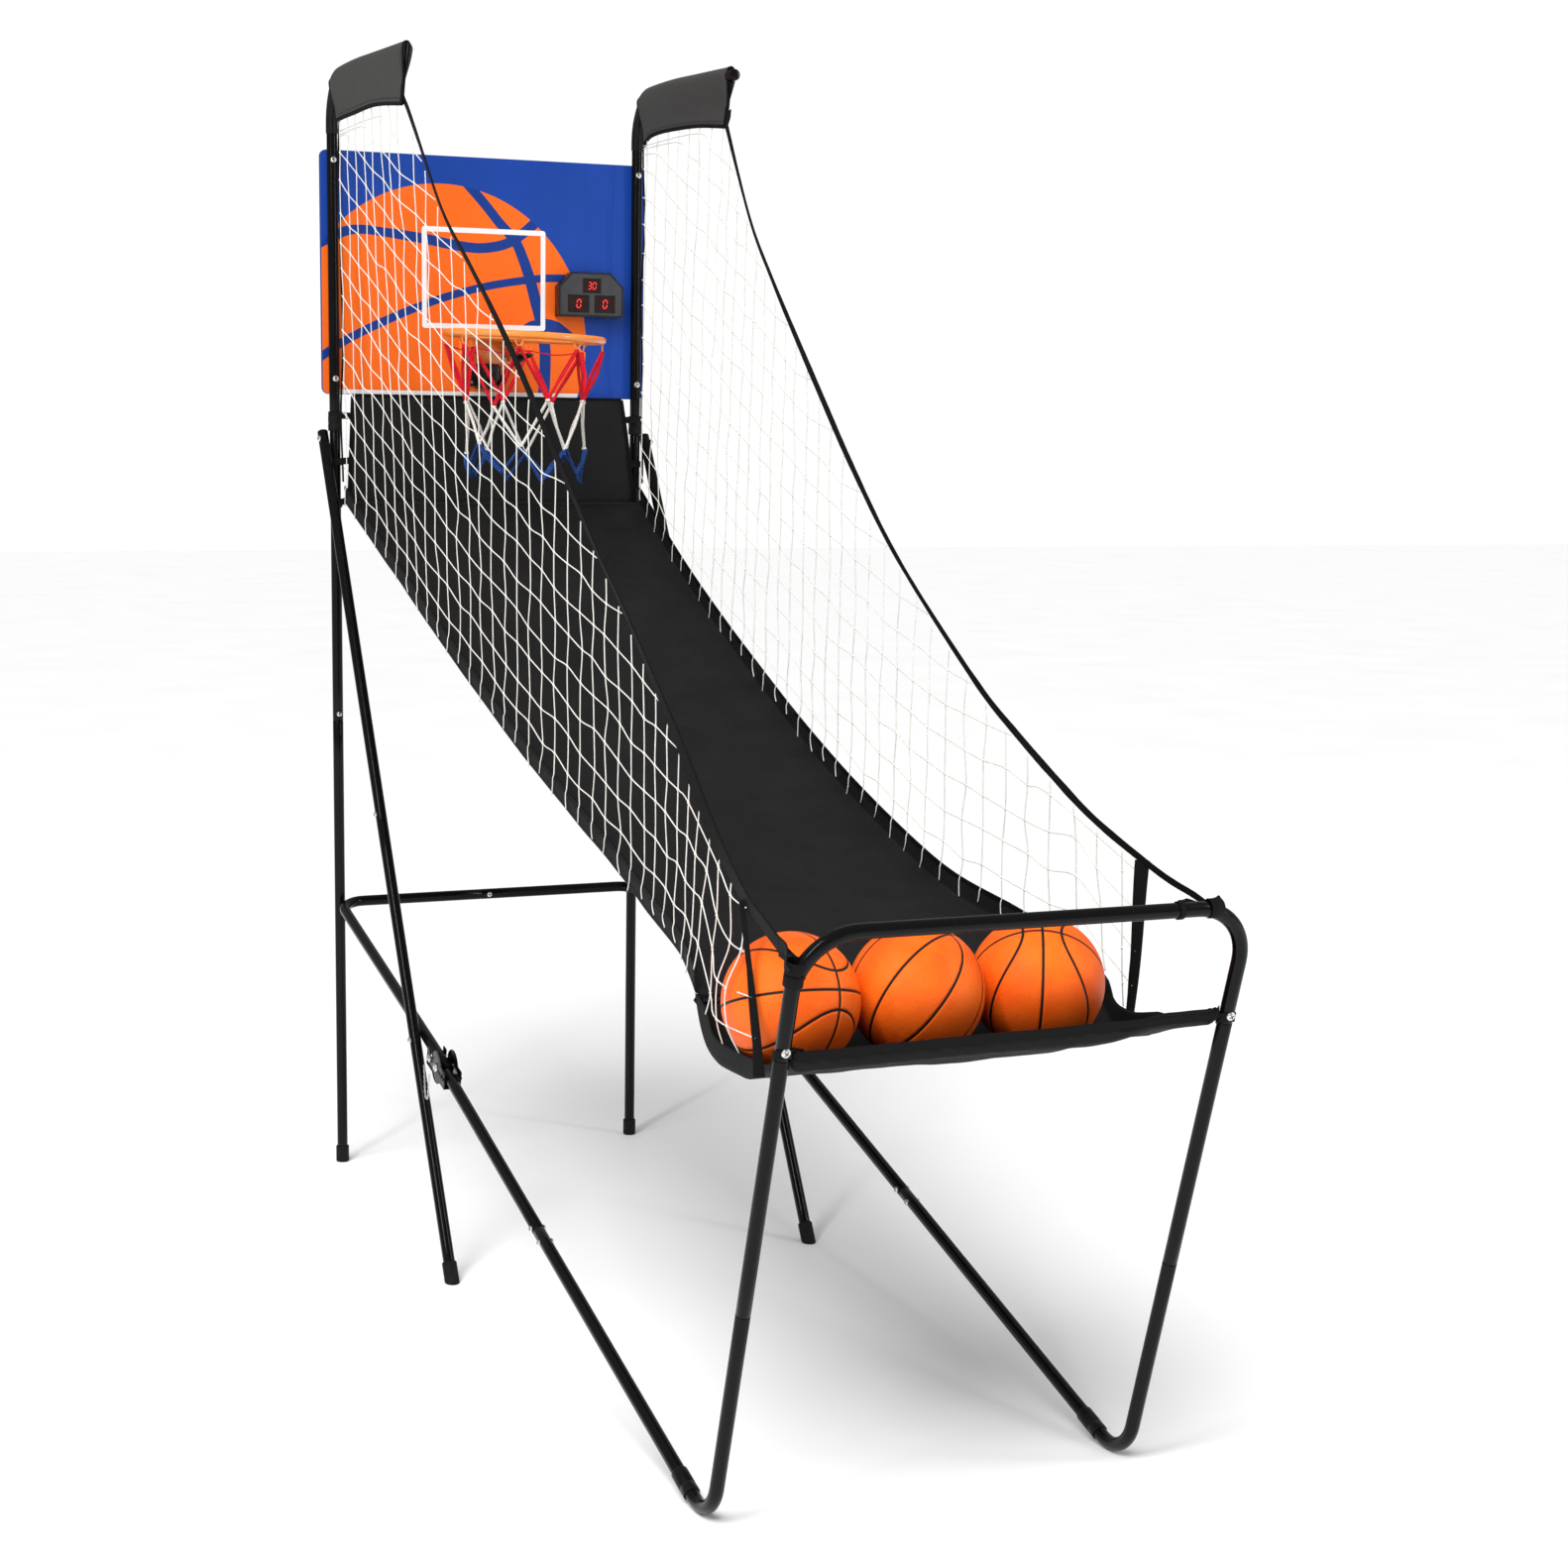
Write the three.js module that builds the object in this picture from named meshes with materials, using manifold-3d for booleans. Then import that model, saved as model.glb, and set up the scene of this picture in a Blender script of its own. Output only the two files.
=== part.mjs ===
// Folding single-lane basketball hoop machine, 1:1 in millimetres.
// +Z is up, +X is the player's right, and +Y runs from the player to the backboard.
// The drawing origin is on the floor, on the centre plane, near the front floor bends.
// At the end the whole machine is shifted along Y, so that its origin is at the centre of its footprint.

import * as THREE from 'three';
import { mergeVertices } from 'three/addons/utils/BufferGeometryUtils.js';
import Module from 'manifold-3d';

const wasm = await Module();
wasm.setup();

// ---------------------------------------------------------------- driving dimensions

const FIT = 0.3; // clearance between touching pieces

const TUBE_R = 9.5; // 19 mm steel tube
const TUBE_WALL = 1.0;
const TUBE_SIDES = 12;
const SPIGOT_R = 8.2; // swaged tube end that plugs into the next tube
const SPIGOT_LENGTH = 34;

const POST_X = 289; // rear posts
const POST_Y = 1782;
const POST_JOINTS_Z = [830, 1364]; // slip joints, lower to middle and middle to upper
const ARM_Z = 1962; // the upper post bends forward at this height
const ARM_BEND_R = 80;
const ARM_TIP = { y: 1332, z: 1948 };

const BRACE_FOOT = { x: 316, y: 1011, z: 0 }; // slanted legs of the rear A-frame
const BRACE_TOP = { x: 310, y: 1782, z: 1338 };
const BRACE_JOINT_Z = 694;

const REAR_BAR_X = 295; // U-bar between the posts, with an arm forward to each fold hinge
const REAR_BAR_Y = POST_Y - 2 * TUBE_R - 0.5;
const REAR_BAR_Z = 497;
const REAR_BAR_BEND_R = 45;
const REAR_BAR_JOINT_X = -22;

const FRONT_X = 300; // side bars and front legs
const FLOOR_BEND_R = 60;
const FLOOR_BEND_Y = 26; // centre of the floor bend
const SIDE_RISE = THREE.MathUtils.degToRad(16.8); // side bars, above the floor
const LEG_LEAN = THREE.MathUtils.degToRad(16.1); // front legs, forward from vertical
const HINGE_Y = 1107;
const SIDE_JOINT_Y = 636;
const SIDE_END_Y = 62;
const LEG_JOINT_Z = 299;
const LOOP_JOINT_Z = 636;
const LOOP_Z = 788; // the bar that the player leans over
const LOOP_BEND_R = 75;

const CAP_R = 12; // rubber foot caps
const CAP_LENGTH = 30;
const CAP_FLOOR = 4;
const COLLAR_R = 12.2;

const BOARD = { width: 617, height: 425, thickness: 8, z: 1417, corner: 12 };
const BOARD_Y = POST_Y + TUBE_R + 0.8; // front face of the backboard

const RIM_R = 137; // to the centre of the ring's tube
const RIM_TUBE_R = 6.5;
const RIM_CENTRE = new THREE.Vector3(-3, 1571, 1517);
const RIM_DROOP = THREE.MathUtils.degToRad(1.5); // the front edge hangs lower
const RIM_LEAN = THREE.MathUtils.degToRad(2); // and so does the right side

const BALL_R = 85;
const BALL_SHELL = 3;
const BALL_Y = -46;
const BALL_X = { left: -218, middle: -47.7, right: 122.6 };
const TRAY_FLOOR_Z = 581.5;
const TRAY_HALF = 286;

// ---------------------------------------------------------------- materials

function paint(color, roughness, metalness = 0) {
  return new THREE.MeshStandardMaterial({ color, roughness, metalness });
}

const MATERIALS = {
  frame: paint(0x0b0b0c, 0.22, 0.4),
  rubber: paint(0x131313, 0.75),
  zinc: paint(0xb9bbb6, 0.35, 0.9),
  cloth: paint(0x1c1c1d, 0.85),
  flag: paint(0x3c3c3a, 0.9),
  webbing: paint(0x101011, 0.7),
  net: paint(0xf2f0ea, 0.8),
  hoopNet: paint(0xd9262c, 0.75),
  board: paint(0x2347a8, 0.35),
  rim: paint(0xf08a26, 0.35),
  housing: paint(0x0d0d10, 0.45),
  face: paint(0x5b5c59, 0.5),
  ball: paint(0xee6a1f, 0.65),
};

const machine = new THREE.Group();

function addPiece(name, geometry, material, place = null) {
  const mesh = new THREE.Mesh(geometry, material);
  mesh.name = name;
  if (place) place(mesh);
  machine.add(mesh);
  return mesh;
}

const SIDES = [
  { label: 'left', sign: -1 },
  { label: 'right', sign: 1 },
];

// ---------------------------------------------------------------- solids

function toManifold(geometry) {
  const bare = geometry.index ? geometry.toNonIndexed() : geometry.clone();
  bare.deleteAttribute('normal');
  bare.deleteAttribute('uv');
  const merged = mergeVertices(bare, 1e-4);
  return new wasm.Manifold(new wasm.Mesh({
    numProp: 3,
    vertProperties: new Float32Array(merged.attributes.position.array),
    triVerts: new Uint32Array(merged.index.array),
  }));
}

function toGeometry(solid) {
  const mesh = solid.getMesh();
  const geometry = new THREE.BufferGeometry();
  geometry.setAttribute('position', new THREE.BufferAttribute(mesh.vertProperties, 3));
  geometry.setIndex(new THREE.BufferAttribute(mesh.triVerts, 1));
  return geometry;
}

function join(...geometries) {
  return toGeometry(geometries.map(toManifold).reduce((a, b) => a.add(b)));
}

function cut(geometry, ...tools) {
  return toGeometry(tools.map(toManifold).reduce((a, b) => a.subtract(b), toManifold(geometry)));
}

function circlePoints(radius, sides) {
  return Array.from({ length: sides }, (_, i) => {
    const angle = (2 * Math.PI * i) / sides;
    return new THREE.Vector2(radius * Math.cos(angle), radius * Math.sin(angle));
  });
}

// A route of straight runs with rounded corners, sampled only where it bends.
class Route extends THREE.Curve {
  constructor(corners, bendRadius = 0, bendSteps = 8) {
    super();
    this.stations = [];
    const last = corners.length - 1;
    corners.forEach((corner, i) => {
      if (i === 0 || i === last) {
        const run = i === 0 ? corners[1].clone().sub(corner) : corner.clone().sub(corners[last - 1]);
        this.stations.push({ point: corner.clone(), tangent: run.normalize() });
        return;
      }
      this.addBend(corners[i - 1], corner, corners[i + 1], bendRadius, bendSteps);
    });
  }

  addBend(before, corner, after, radius, steps) {
    const arriving = corner.clone().sub(before).normalize();
    const leaving = after.clone().sub(corner).normalize();
    const turn = arriving.angleTo(leaving);
    const start = corner.clone().addScaledVector(arriving, -radius * Math.tan(turn / 2));
    const axis = arriving.clone().cross(leaving).normalize();
    const inward = axis.clone().cross(arriving).normalize();
    const centre = start.clone().addScaledVector(inward, radius);
    for (let k = 0; k <= steps; k += 1) {
      const angle = (turn * k) / steps;
      const spoke = start.clone().sub(centre).applyAxisAngle(axis, angle);
      const tangent = arriving.clone().applyAxisAngle(axis, angle);
      this.stations.push({ point: centre.clone().add(spoke), tangent });
    }
  }

  stationAt(u) {
    return this.stations[Math.round(u * (this.stations.length - 1))];
  }

  getPoint(u) {
    return this.stationAt(u).point.clone();
  }

  getPointAt(u) {
    return this.getPoint(u);
  }

  getTangent(u) {
    return this.stationAt(u).tangent.clone();
  }

  getTangentAt(u) {
    return this.getTangent(u);
  }
}

function sweep(shape, route) {
  return new THREE.ExtrudeGeometry(shape, { steps: route.stations.length - 1, extrudePath: route });
}

function pipe(route, outer = TUBE_R, wall = TUBE_WALL, sides = TUBE_SIDES) {
  const ring = new THREE.Shape(circlePoints(outer, sides));
  ring.holes.push(new THREE.Path(circlePoints(outer - wall, sides).reverse()));
  return sweep(ring, route);
}

// The swaged end: a collar welded in the tube's mouth, and the narrower plug in front of it.
function spigot(mouth, direction) {
  const inner = SPIGOT_R - TUBE_WALL;
  const step = 3;
  const profile = [
    [inner, -step], [TUBE_R - 0.4, -step], [TUBE_R - 0.4, 0],
    [SPIGOT_R, 0], [SPIGOT_R, SPIGOT_LENGTH], [inner, SPIGOT_LENGTH], [inner, -step],
  ];
  return alongAxis(lathe(profile, TUBE_SIDES), mouth, direction);
}

// Puts a shape that stands along +Y at a point, along a direction.
function alongAxis(geometry, origin, direction) {
  const turn = new THREE.Quaternion().setFromUnitVectors(
    new THREE.Vector3(0, 1, 0), direction.clone().normalize());
  return geometry.applyQuaternion(turn).translate(origin.x, origin.y, origin.z);
}

function frameTube(name, corners, { bend = 0, plugAtEnd = false, holes = [] } = {}) {
  const route = new Route(corners, bend);
  let solid = pipe(route);
  if (plugAtEnd) {
    const mouth = route.stations.at(-1);
    solid = join(solid, spigot(mouth.point, mouth.tangent));
  }
  if (holes.length > 0) solid = cut(solid, ...holes);
  return addPiece(name, solid, MATERIALS.frame);
}

function rodAlongX(radius, centre, length, sides = 16) {
  const rod = new THREE.CylinderGeometry(radius, radius, length, sides);
  return alongAxis(rod, centre, new THREE.Vector3(1, 0, 0));
}

function lathe(profile, segments) {
  return new THREE.LatheGeometry(profile.map(([r, z]) => new THREE.Vector2(r, z)), segments);
}

// A flat outline in the plane of Y and Z, given a thickness along X.
function plateAlongX(outline, xStart, thickness, holes = []) {
  const shape = new THREE.Shape(outline.map(([y, z]) => new THREE.Vector2(y, z)));
  holes.forEach((hole) => {
    const ring = circlePoints(hole.r, 16).map((p) => p.add(new THREE.Vector2(hole.y, hole.z)));
    shape.holes.push(new THREE.Path(ring));
  });
  const plate = new THREE.ExtrudeGeometry(shape, { depth: thickness, bevelEnabled: false });
  const basis = new THREE.Matrix4().set(0, 0, 1, xStart, 1, 0, 0, 0, 0, 1, 0, 0, 0, 0, 0, 1);
  return plate.applyMatrix4(basis);
}

// A flat outline in the plane of X and Z, given a thickness towards +Y.
function plateAlongY(shape, yStart, thickness) {
  const plate = new THREE.ExtrudeGeometry(shape, { depth: thickness, bevelEnabled: false });
  const basis = new THREE.Matrix4().set(1, 0, 0, 0, 0, 0, -1, yStart + thickness, 0, 1, 0, 0, 0, 0, 0, 1);
  return plate.applyMatrix4(basis);
}

function boxSolid(low, high) {
  const size = high.map((value, i) => value - low[i]);
  const centre = high.map((value, i) => (value + low[i]) / 2);
  return new THREE.BoxGeometry(...size).translate(...centre);
}

// A sheet of cloth or net with a thickness: point(u, v, 0) is one face and point(u, v, 1) the other.
function sheet(columns, rows, point) {
  const positions = [];
  const index = [];
  const layer = (columns + 1) * (rows + 1);
  for (const side of [0, 1]) {
    for (let i = 0; i <= columns; i += 1) {
      for (let j = 0; j <= rows; j += 1) {
        const p = point(i / columns, j / rows, side);
        positions.push(p.x, p.y, p.z);
      }
    }
  }
  const at = (i, j, side) => side * layer + i * (rows + 1) + j;
  const quad = (a, b, c, d) => index.push(a, b, c, a, c, d);
  for (let i = 0; i < columns; i += 1) {
    for (let j = 0; j < rows; j += 1) {
      quad(at(i, j, 0), at(i + 1, j, 0), at(i + 1, j + 1, 0), at(i, j + 1, 0));
      quad(at(i, j, 1), at(i, j + 1, 1), at(i + 1, j + 1, 1), at(i + 1, j, 1));
    }
    quad(at(i, 0, 0), at(i, 0, 1), at(i + 1, 0, 1), at(i + 1, 0, 0));
    quad(at(i, rows, 0), at(i + 1, rows, 0), at(i + 1, rows, 1), at(i, rows, 1));
  }
  for (let j = 0; j < rows; j += 1) {
    quad(at(0, j, 0), at(0, j + 1, 0), at(0, j + 1, 1), at(0, j, 1));
    quad(at(columns, j, 0), at(columns, j, 1), at(columns, j + 1, 1), at(columns, j + 1, 0));
  }
  return closedGeometry(positions, index);
}

// A skin over a row of outlines with equal point counts, capped at both ends.
function loft(outlines, flat = (p) => new THREE.Vector2(p.x, p.z)) {
  const count = outlines[0].length;
  const positions = outlines.flat().flatMap((p) => [p.x, p.y, p.z]);
  const index = [];
  for (let i = 0; i + 1 < outlines.length; i += 1) {
    for (let j = 0; j < count; j += 1) {
      const a = i * count + j;
      const b = i * count + ((j + 1) % count);
      index.push(a, b, b + count, a, b + count, a + count);
    }
  }
  for (const end of [0, outlines.length - 1]) {
    const cap = THREE.ShapeUtils.triangulateShape(outlines[end].map(flat), []);
    for (const [a, b, c] of cap) {
      const base = end * count;
      const asDrawn = (end === 0) === (THREE.ShapeUtils.isClockWise(outlines[end].map(flat)) !== true);
      const corners = asDrawn ? [a, c, b] : [a, b, c];
      index.push(...corners.map((k) => base + k));
    }
  }
  return closedGeometry(positions, index);
}

function closedGeometry(positions, index) {
  const geometry = new THREE.BufferGeometry();
  geometry.setAttribute('position', new THREE.Float32BufferAttribute(positions, 3));
  geometry.setIndex(index);
  if (signedVolume(geometry) < 0) geometry.setIndex([...index].reverse());
  return geometry;
}

function signedVolume(geometry) {
  const p = geometry.attributes.position;
  const corner = (k) => new THREE.Vector3().fromBufferAttribute(p, geometry.index.getX(k));
  let volume = 0;
  for (let k = 0; k < geometry.index.count; k += 3) {
    volume += corner(k).dot(corner(k + 1).cross(corner(k + 2))) / 6;
  }
  return volume;
}

// ---------------------------------------------------------------- rear A-frame

const point = (x, y, z) => new THREE.Vector3(x, y, z);
const footCap = [
  [0, 0], [CAP_R, 0], [CAP_R, CAP_LENGTH - 4], [CAP_R - 1, CAP_LENGTH],
  [TUBE_R + FIT, CAP_LENGTH], [TUBE_R + FIT, CAP_FLOOR], [0, CAP_FLOOR],
];

function rearPosts() {
  for (const { label, sign } of SIDES) {
    const x = sign * POST_X;
    const joints = [CAP_FLOOR + FIT, ...POST_JOINTS_Z];
    const cap = alongAxis(lathe(footCap, 20), point(x, POST_Y, 0), point(0, 0, 1));
    addPiece(`foot_cap_post_${label}`, cap, MATERIALS.rubber);
    frameTube(`post_lower_${label}`, [
      point(x, POST_Y, joints[0]), point(x, POST_Y, joints[1])], { plugAtEnd: true });
    frameTube(`post_middle_${label}`, [
      point(x, POST_Y, joints[1] + FIT), point(x, POST_Y, joints[2])], { plugAtEnd: true });
    frameTube(`post_upper_${label}`, [
      point(x, POST_Y, joints[2] + FIT),
      point(x, POST_Y, ARM_Z),
      point(x, ARM_TIP.y, ARM_TIP.z),
    ], { bend: ARM_BEND_R });
    const collar = [
      [TUBE_R + FIT, 0], [COLLAR_R, 0], [COLLAR_R, 26], [TUBE_R + FIT, 26], [TUBE_R + FIT, 0]];
    addPiece(`post_collar_${label}`,
      alongAxis(lathe(collar, 20), point(x, POST_Y, POST_JOINTS_Z[1] - 12), point(0, 0, 1)),
      MATERIALS.rubber);
  }
}

function bracePoint(sign, z) {
  const t = z / BRACE_TOP.z;
  return point(
    sign * THREE.MathUtils.lerp(BRACE_FOOT.x, BRACE_TOP.x, t),
    THREE.MathUtils.lerp(BRACE_FOOT.y, BRACE_TOP.y, t),
    z);
}

function braces() {
  for (const { label, sign } of SIDES) {
    const foot = bracePoint(sign, 0);
    const axis = bracePoint(sign, BRACE_TOP.z).sub(foot).normalize();
    const along = (distance) => foot.clone().addScaledVector(axis, distance);
    const skirt = 10; // cap rubber below the foot point, which the floor plane trims off
    const floor = 12;
    const profile = [
      [0, -skirt], [CAP_R, -skirt], [CAP_R, 34], [CAP_R - 1, 38],
      [TUBE_R + FIT, 38], [TUBE_R + FIT, floor], [0, floor],
    ];
    const belowFloor = boxSolid([foot.x - 40, foot.y - 40, -40], [foot.x + 40, foot.y + 40, 0]);
    const cap = cut(alongAxis(lathe(profile, 20), foot, axis), belowFloor);
    addPiece(`foot_cap_brace_${label}`, cap, MATERIALS.rubber);
    const joint = bracePoint(sign, BRACE_JOINT_Z);
    frameTube(`brace_lower_${label}`, [along(floor + FIT), joint], { plugAtEnd: true });
    frameTube(`brace_upper_${label}`, [
      joint.clone().addScaledVector(axis, FIT),
      bracePoint(sign, BRACE_TOP.z).addScaledVector(axis, 14)]);
  }
}

// ---------------------------------------------------------------- fold hinge

const sideDirection = new THREE.Vector3(0, Math.cos(SIDE_RISE), Math.sin(SIDE_RISE));
const legDirection = new THREE.Vector3(0, -Math.sin(LEG_LEAN), Math.cos(LEG_LEAN));
const floorBendCentre = new THREE.Vector3(0, FLOOR_BEND_Y, FLOOR_BEND_R + TUBE_R);
const sideTangent = floorBendCentre.clone().addScaledVector(
  point(0, Math.sin(SIDE_RISE), -Math.cos(SIDE_RISE)), FLOOR_BEND_R);
const legTangent = floorBendCentre.clone().addScaledVector(
  point(0, -Math.cos(LEG_LEAN), -Math.sin(LEG_LEAN)), FLOOR_BEND_R);

function onSideBar(sign, y) {
  const p = sideTangent.clone().addScaledVector(sideDirection, (y - sideTangent.y) / sideDirection.y);
  return p.setX(sign * FRONT_X);
}

function onLeg(sign, z) {
  const p = legTangent.clone().addScaledVector(legDirection, (z - legTangent.z) / legDirection.z);
  return p.setX(sign * FRONT_X);
}

const hinge = onSideBar(0, HINGE_Y);
const rearArmDirection = hinge.clone().sub(point(0, REAR_BAR_Y, REAR_BAR_Z)).normalize();
const PIVOT_R = 4;
const LOCK_PIN_R = 3;
const LOCK_PIN_BACK = 34; // distance of the locking pin behind the pivot
const lockPin = hinge.clone().addScaledVector(rearArmDirection, -LOCK_PIN_BACK);
const BRACKET_X = [REAR_BAR_X - TUBE_R - FIT, FRONT_X + TUBE_R + FIT]; // inner faces of the cheeks
const CHEEK = 2;
const RIVET_R = 2.6;

function rearBar() {
  const armEnd = hinge.clone().addScaledVector(rearArmDirection, 12);
  for (const { label, sign } of SIDES) {
    const x = sign * REAR_BAR_X;
    const start = REAR_BAR_JOINT_X + (sign > 0 ? FIT : 0);
    const corners = [
      point(start, REAR_BAR_Y, REAR_BAR_Z),
      point(x, REAR_BAR_Y, REAR_BAR_Z),
      armEnd.clone().setX(x),
    ];
    const route = new Route(corners, REAR_BAR_BEND_R);
    let bar = pipe(route);
    if (sign < 0) bar = join(bar, spigot(corners[0], point(1, 0, 0)));
    const pivotHole = rodAlongX(PIVOT_R + 0.4, hinge.clone().setX(x), 40);
    const pinHole = rodAlongX(LOCK_PIN_R + 0.4, lockPin.clone().setX(x), 40);
    addPiece(`rear_bar_${label}`, cut(bar, pivotHole, pinHole), MATERIALS.frame);
  }
}

// Distance backwards along the rear bar's arm from the pivot, and height above the arm's axis.
function armPoint(back, up) {
  const back3 = rearArmDirection.clone().negate();
  return hinge.clone().addScaledVector(back3, back).add(point(0, -back3.z * up, back3.y * up));
}

function armBlock(backs, ups, xs) {
  const outline = [[backs[0], ups[0]], [backs[1], ups[0]], [backs[1], ups[1]], [backs[0], ups[1]]];
  return plateAlongX(outline.map(([s, h]) => [armPoint(s, h).y, armPoint(s, h).z]), xs[0], xs[1] - xs[0]);
}

// A channel riveted to the side bar. Its tail reaches back on both sides of the rear bar's arm. An open
// notch in the tail sits on the locking pin, and the tail swings down off the pin as the front folds up.
function foldBracket(label, sign) {
  const DISC_R = 27;
  const NOTCH = LOCK_PIN_R + 0.6;
  const bottom = -17.8;
  const span = sign > 0 ? BRACKET_X : BRACKET_X.map((x) => -x).reverse();
  const outside = [span[0] - CHEEK, span[1] + CHEEK];
  const body = cut(armBlock([-45, 52], [bottom, 11], outside),
    armBlock([25, LOCK_PIN_BACK + NOTCH], [-NOTCH, 20], [outside[0] - 1, outside[1] + 1]));
  const disc = rodAlongX(DISC_R, hinge.clone().setX((span[0] + span[1]) / 2), outside[1] - outside[0], 32);
  const channel = armBlock([-50, 60], [bottom + CHEEK, 40], span);
  const under = armBlock([-20, 28], [-40, 40], span);
  const pivotHole = rodAlongX(PIVOT_R + 0.3, hinge.clone().setX(sign * FRONT_X), 60);
  const rivets = [30, 40].map((distance) => {
    const centre = hinge.clone().addScaledVector(sideDirection, -distance);
    return rodAlongX(RIVET_R, centre.setX((span[0] + span[1]) / 2), outside[1] - outside[0] + 4, 12);
  });
  const shell = cut(join(body, disc), channel, under, pivotHole);
  addPiece(`fold_bracket_${label}`, join(shell, ...rivets), MATERIALS.frame);
}

function foldFasteners(label, sign) {
  const outer = BRACKET_X[1] + CHEEK + FIT;
  const inner = BRACKET_X[0] - CHEEK - FIT;
  const outwards = point(sign, 0, 0);
  const bolt = [
    [0, inner - 5], [7, inner - 5], [7, inner], [PIVOT_R, inner],
    [PIVOT_R, outer], [7.5, outer], [6.5, outer + 4], [0, outer + 4],
  ];
  addPiece(`hinge_bolt_${label}`, alongAxis(lathe(bolt, 16), hinge, outwards), MATERIALS.zinc);
  const pin = [
    [0, inner - 3], [2, inner - 3], [LOCK_PIN_R, inner - 1], [LOCK_PIN_R, outer],
    [7, outer], [7, outer + 3], [3, outer + 4], [3, outer + 6], [0, outer + 6],
  ];
  addPiece(`lock_pin_${label}`, alongAxis(lathe(pin, 16), lockPin, outwards), MATERIALS.zinc);
}

// A light chain keeps each locking pin with the frame. It is drawn as a plain cord here.
function pinChain(label, sign) {
  const route = new Route([
    [1141, 331], [1137, 285], [1128, 271], [1119, 287], [1112, 322],
  ].map(([y, z]) => point(sign * 322, y, z)), 6, 3);
  addPiece(`pin_chain_${label}`, sweep(new THREE.Shape(circlePoints(1.75, 6)), route), MATERIALS.zinc);
}

function foldHinges() {
  for (const { label, sign } of SIDES) {
    foldBracket(label, sign);
    foldFasteners(label, sign);
    pinChain(label, sign);
  }
}

// ---------------------------------------------------------------- front frame

function sideBars() {
  for (const { label, sign } of SIDES) {
    const rivetHoles = [30, 40].map((distance) => {
      const centre = hinge.clone().addScaledVector(sideDirection, -distance);
      return rodAlongX(RIVET_R + 0.3, centre.setX(sign * FRONT_X), 40, 12);
    });
    frameTube(`side_bar_rear_${label}`, [
      onSideBar(sign, HINGE_Y - 21), onSideBar(sign, SIDE_JOINT_Y)],
    { plugAtEnd: true, holes: rivetHoles });
    frameTube(`side_bar_front_${label}`, [
      onSideBar(sign, SIDE_JOINT_Y - FIT), onSideBar(sign, SIDE_END_Y)]);
    const sleeve = [
      [TUBE_R + FIT, -15], [TUBE_R + 2, -15], [TUBE_R + 2, 30], [TUBE_R + FIT, 30], [TUBE_R + FIT, -15]];
    addPiece(`floor_coupling_${label}`,
      alongAxis(lathe(sleeve, 20), onSideBar(sign, SIDE_END_Y), sideDirection), MATERIALS.rubber);
  }
}

function legs() {
  const meetY = FLOOR_BEND_R * Math.tan((Math.PI / 2 - SIDE_RISE + LEG_LEAN) / 2);
  for (const { label, sign } of SIDES) {
    const corner = sideTangent.clone().addScaledVector(sideDirection, -meetY).setX(sign * FRONT_X);
    frameTube(`floor_bend_${label}`, [
      onSideBar(sign, SIDE_END_Y - FIT), corner, onLeg(sign, LEG_JOINT_Z),
    ], { bend: FLOOR_BEND_R, plugAtEnd: true });
    frameTube(`front_leg_${label}`, [
      onLeg(sign, LEG_JOINT_Z + FIT), onLeg(sign, LOOP_JOINT_Z),
    ], { plugAtEnd: true });
  }
  frameTube('front_loop', [
    onLeg(-1, LOOP_JOINT_Z + FIT), onLeg(-1, LOOP_Z), onLeg(1, LOOP_Z), onLeg(1, LOOP_JOINT_Z + FIT),
  ], { bend: LOOP_BEND_R });
}

// ---------------------------------------------------------------- backboard, scoreboard and hoop

function roundedRectangle(width, height, radius) {
  const x = width / 2;
  const corners = [
    [x - radius, radius, -90], [x - radius, height - radius, 0],
    [radius - x, height - radius, 90], [radius - x, radius, 180],
  ];
  return new THREE.Shape(corners.flatMap(([cx, cz, from]) => [0, 30, 60, 90].map((degrees) => {
    const angle = THREE.MathUtils.degToRad(from + degrees);
    return new THREE.Vector2(cx + radius * Math.cos(angle), cz + radius * Math.sin(angle));
  })));
}

function backboard() {
  const board = plateAlongY(roundedRectangle(BOARD.width, BOARD.height, BOARD.corner), BOARD_Y, BOARD.thickness);
  addPiece('backboard', board.translate(0, 0, BOARD.z), MATERIALS.board);
}

const SCORE = { x: 195.5, width: 126, low: 1565, high: 1645, front: 1768, chamfer: 25, wall: 2.5 };
const WINDOWS = [ // middle x, middle z, width, height
  [196.5, 1621, 33, 24],
  [170.5, 1588.5, 39, 29],
  [222, 1588.5, 38, 29],
];

function scoreOutline(inset) {
  const x = SCORE.width / 2 - inset;
  const c = SCORE.chamfer - inset * 0.41;
  const low = SCORE.low + inset;
  const high = SCORE.high - inset;
  return new THREE.Shape([
    [-x, low], [x, low], [x, high - c], [x - c, high], [c - x, high], [-x, high - c],
  ].map(([dx, z]) => new THREE.Vector2(SCORE.x + dx, z)));
}

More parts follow.
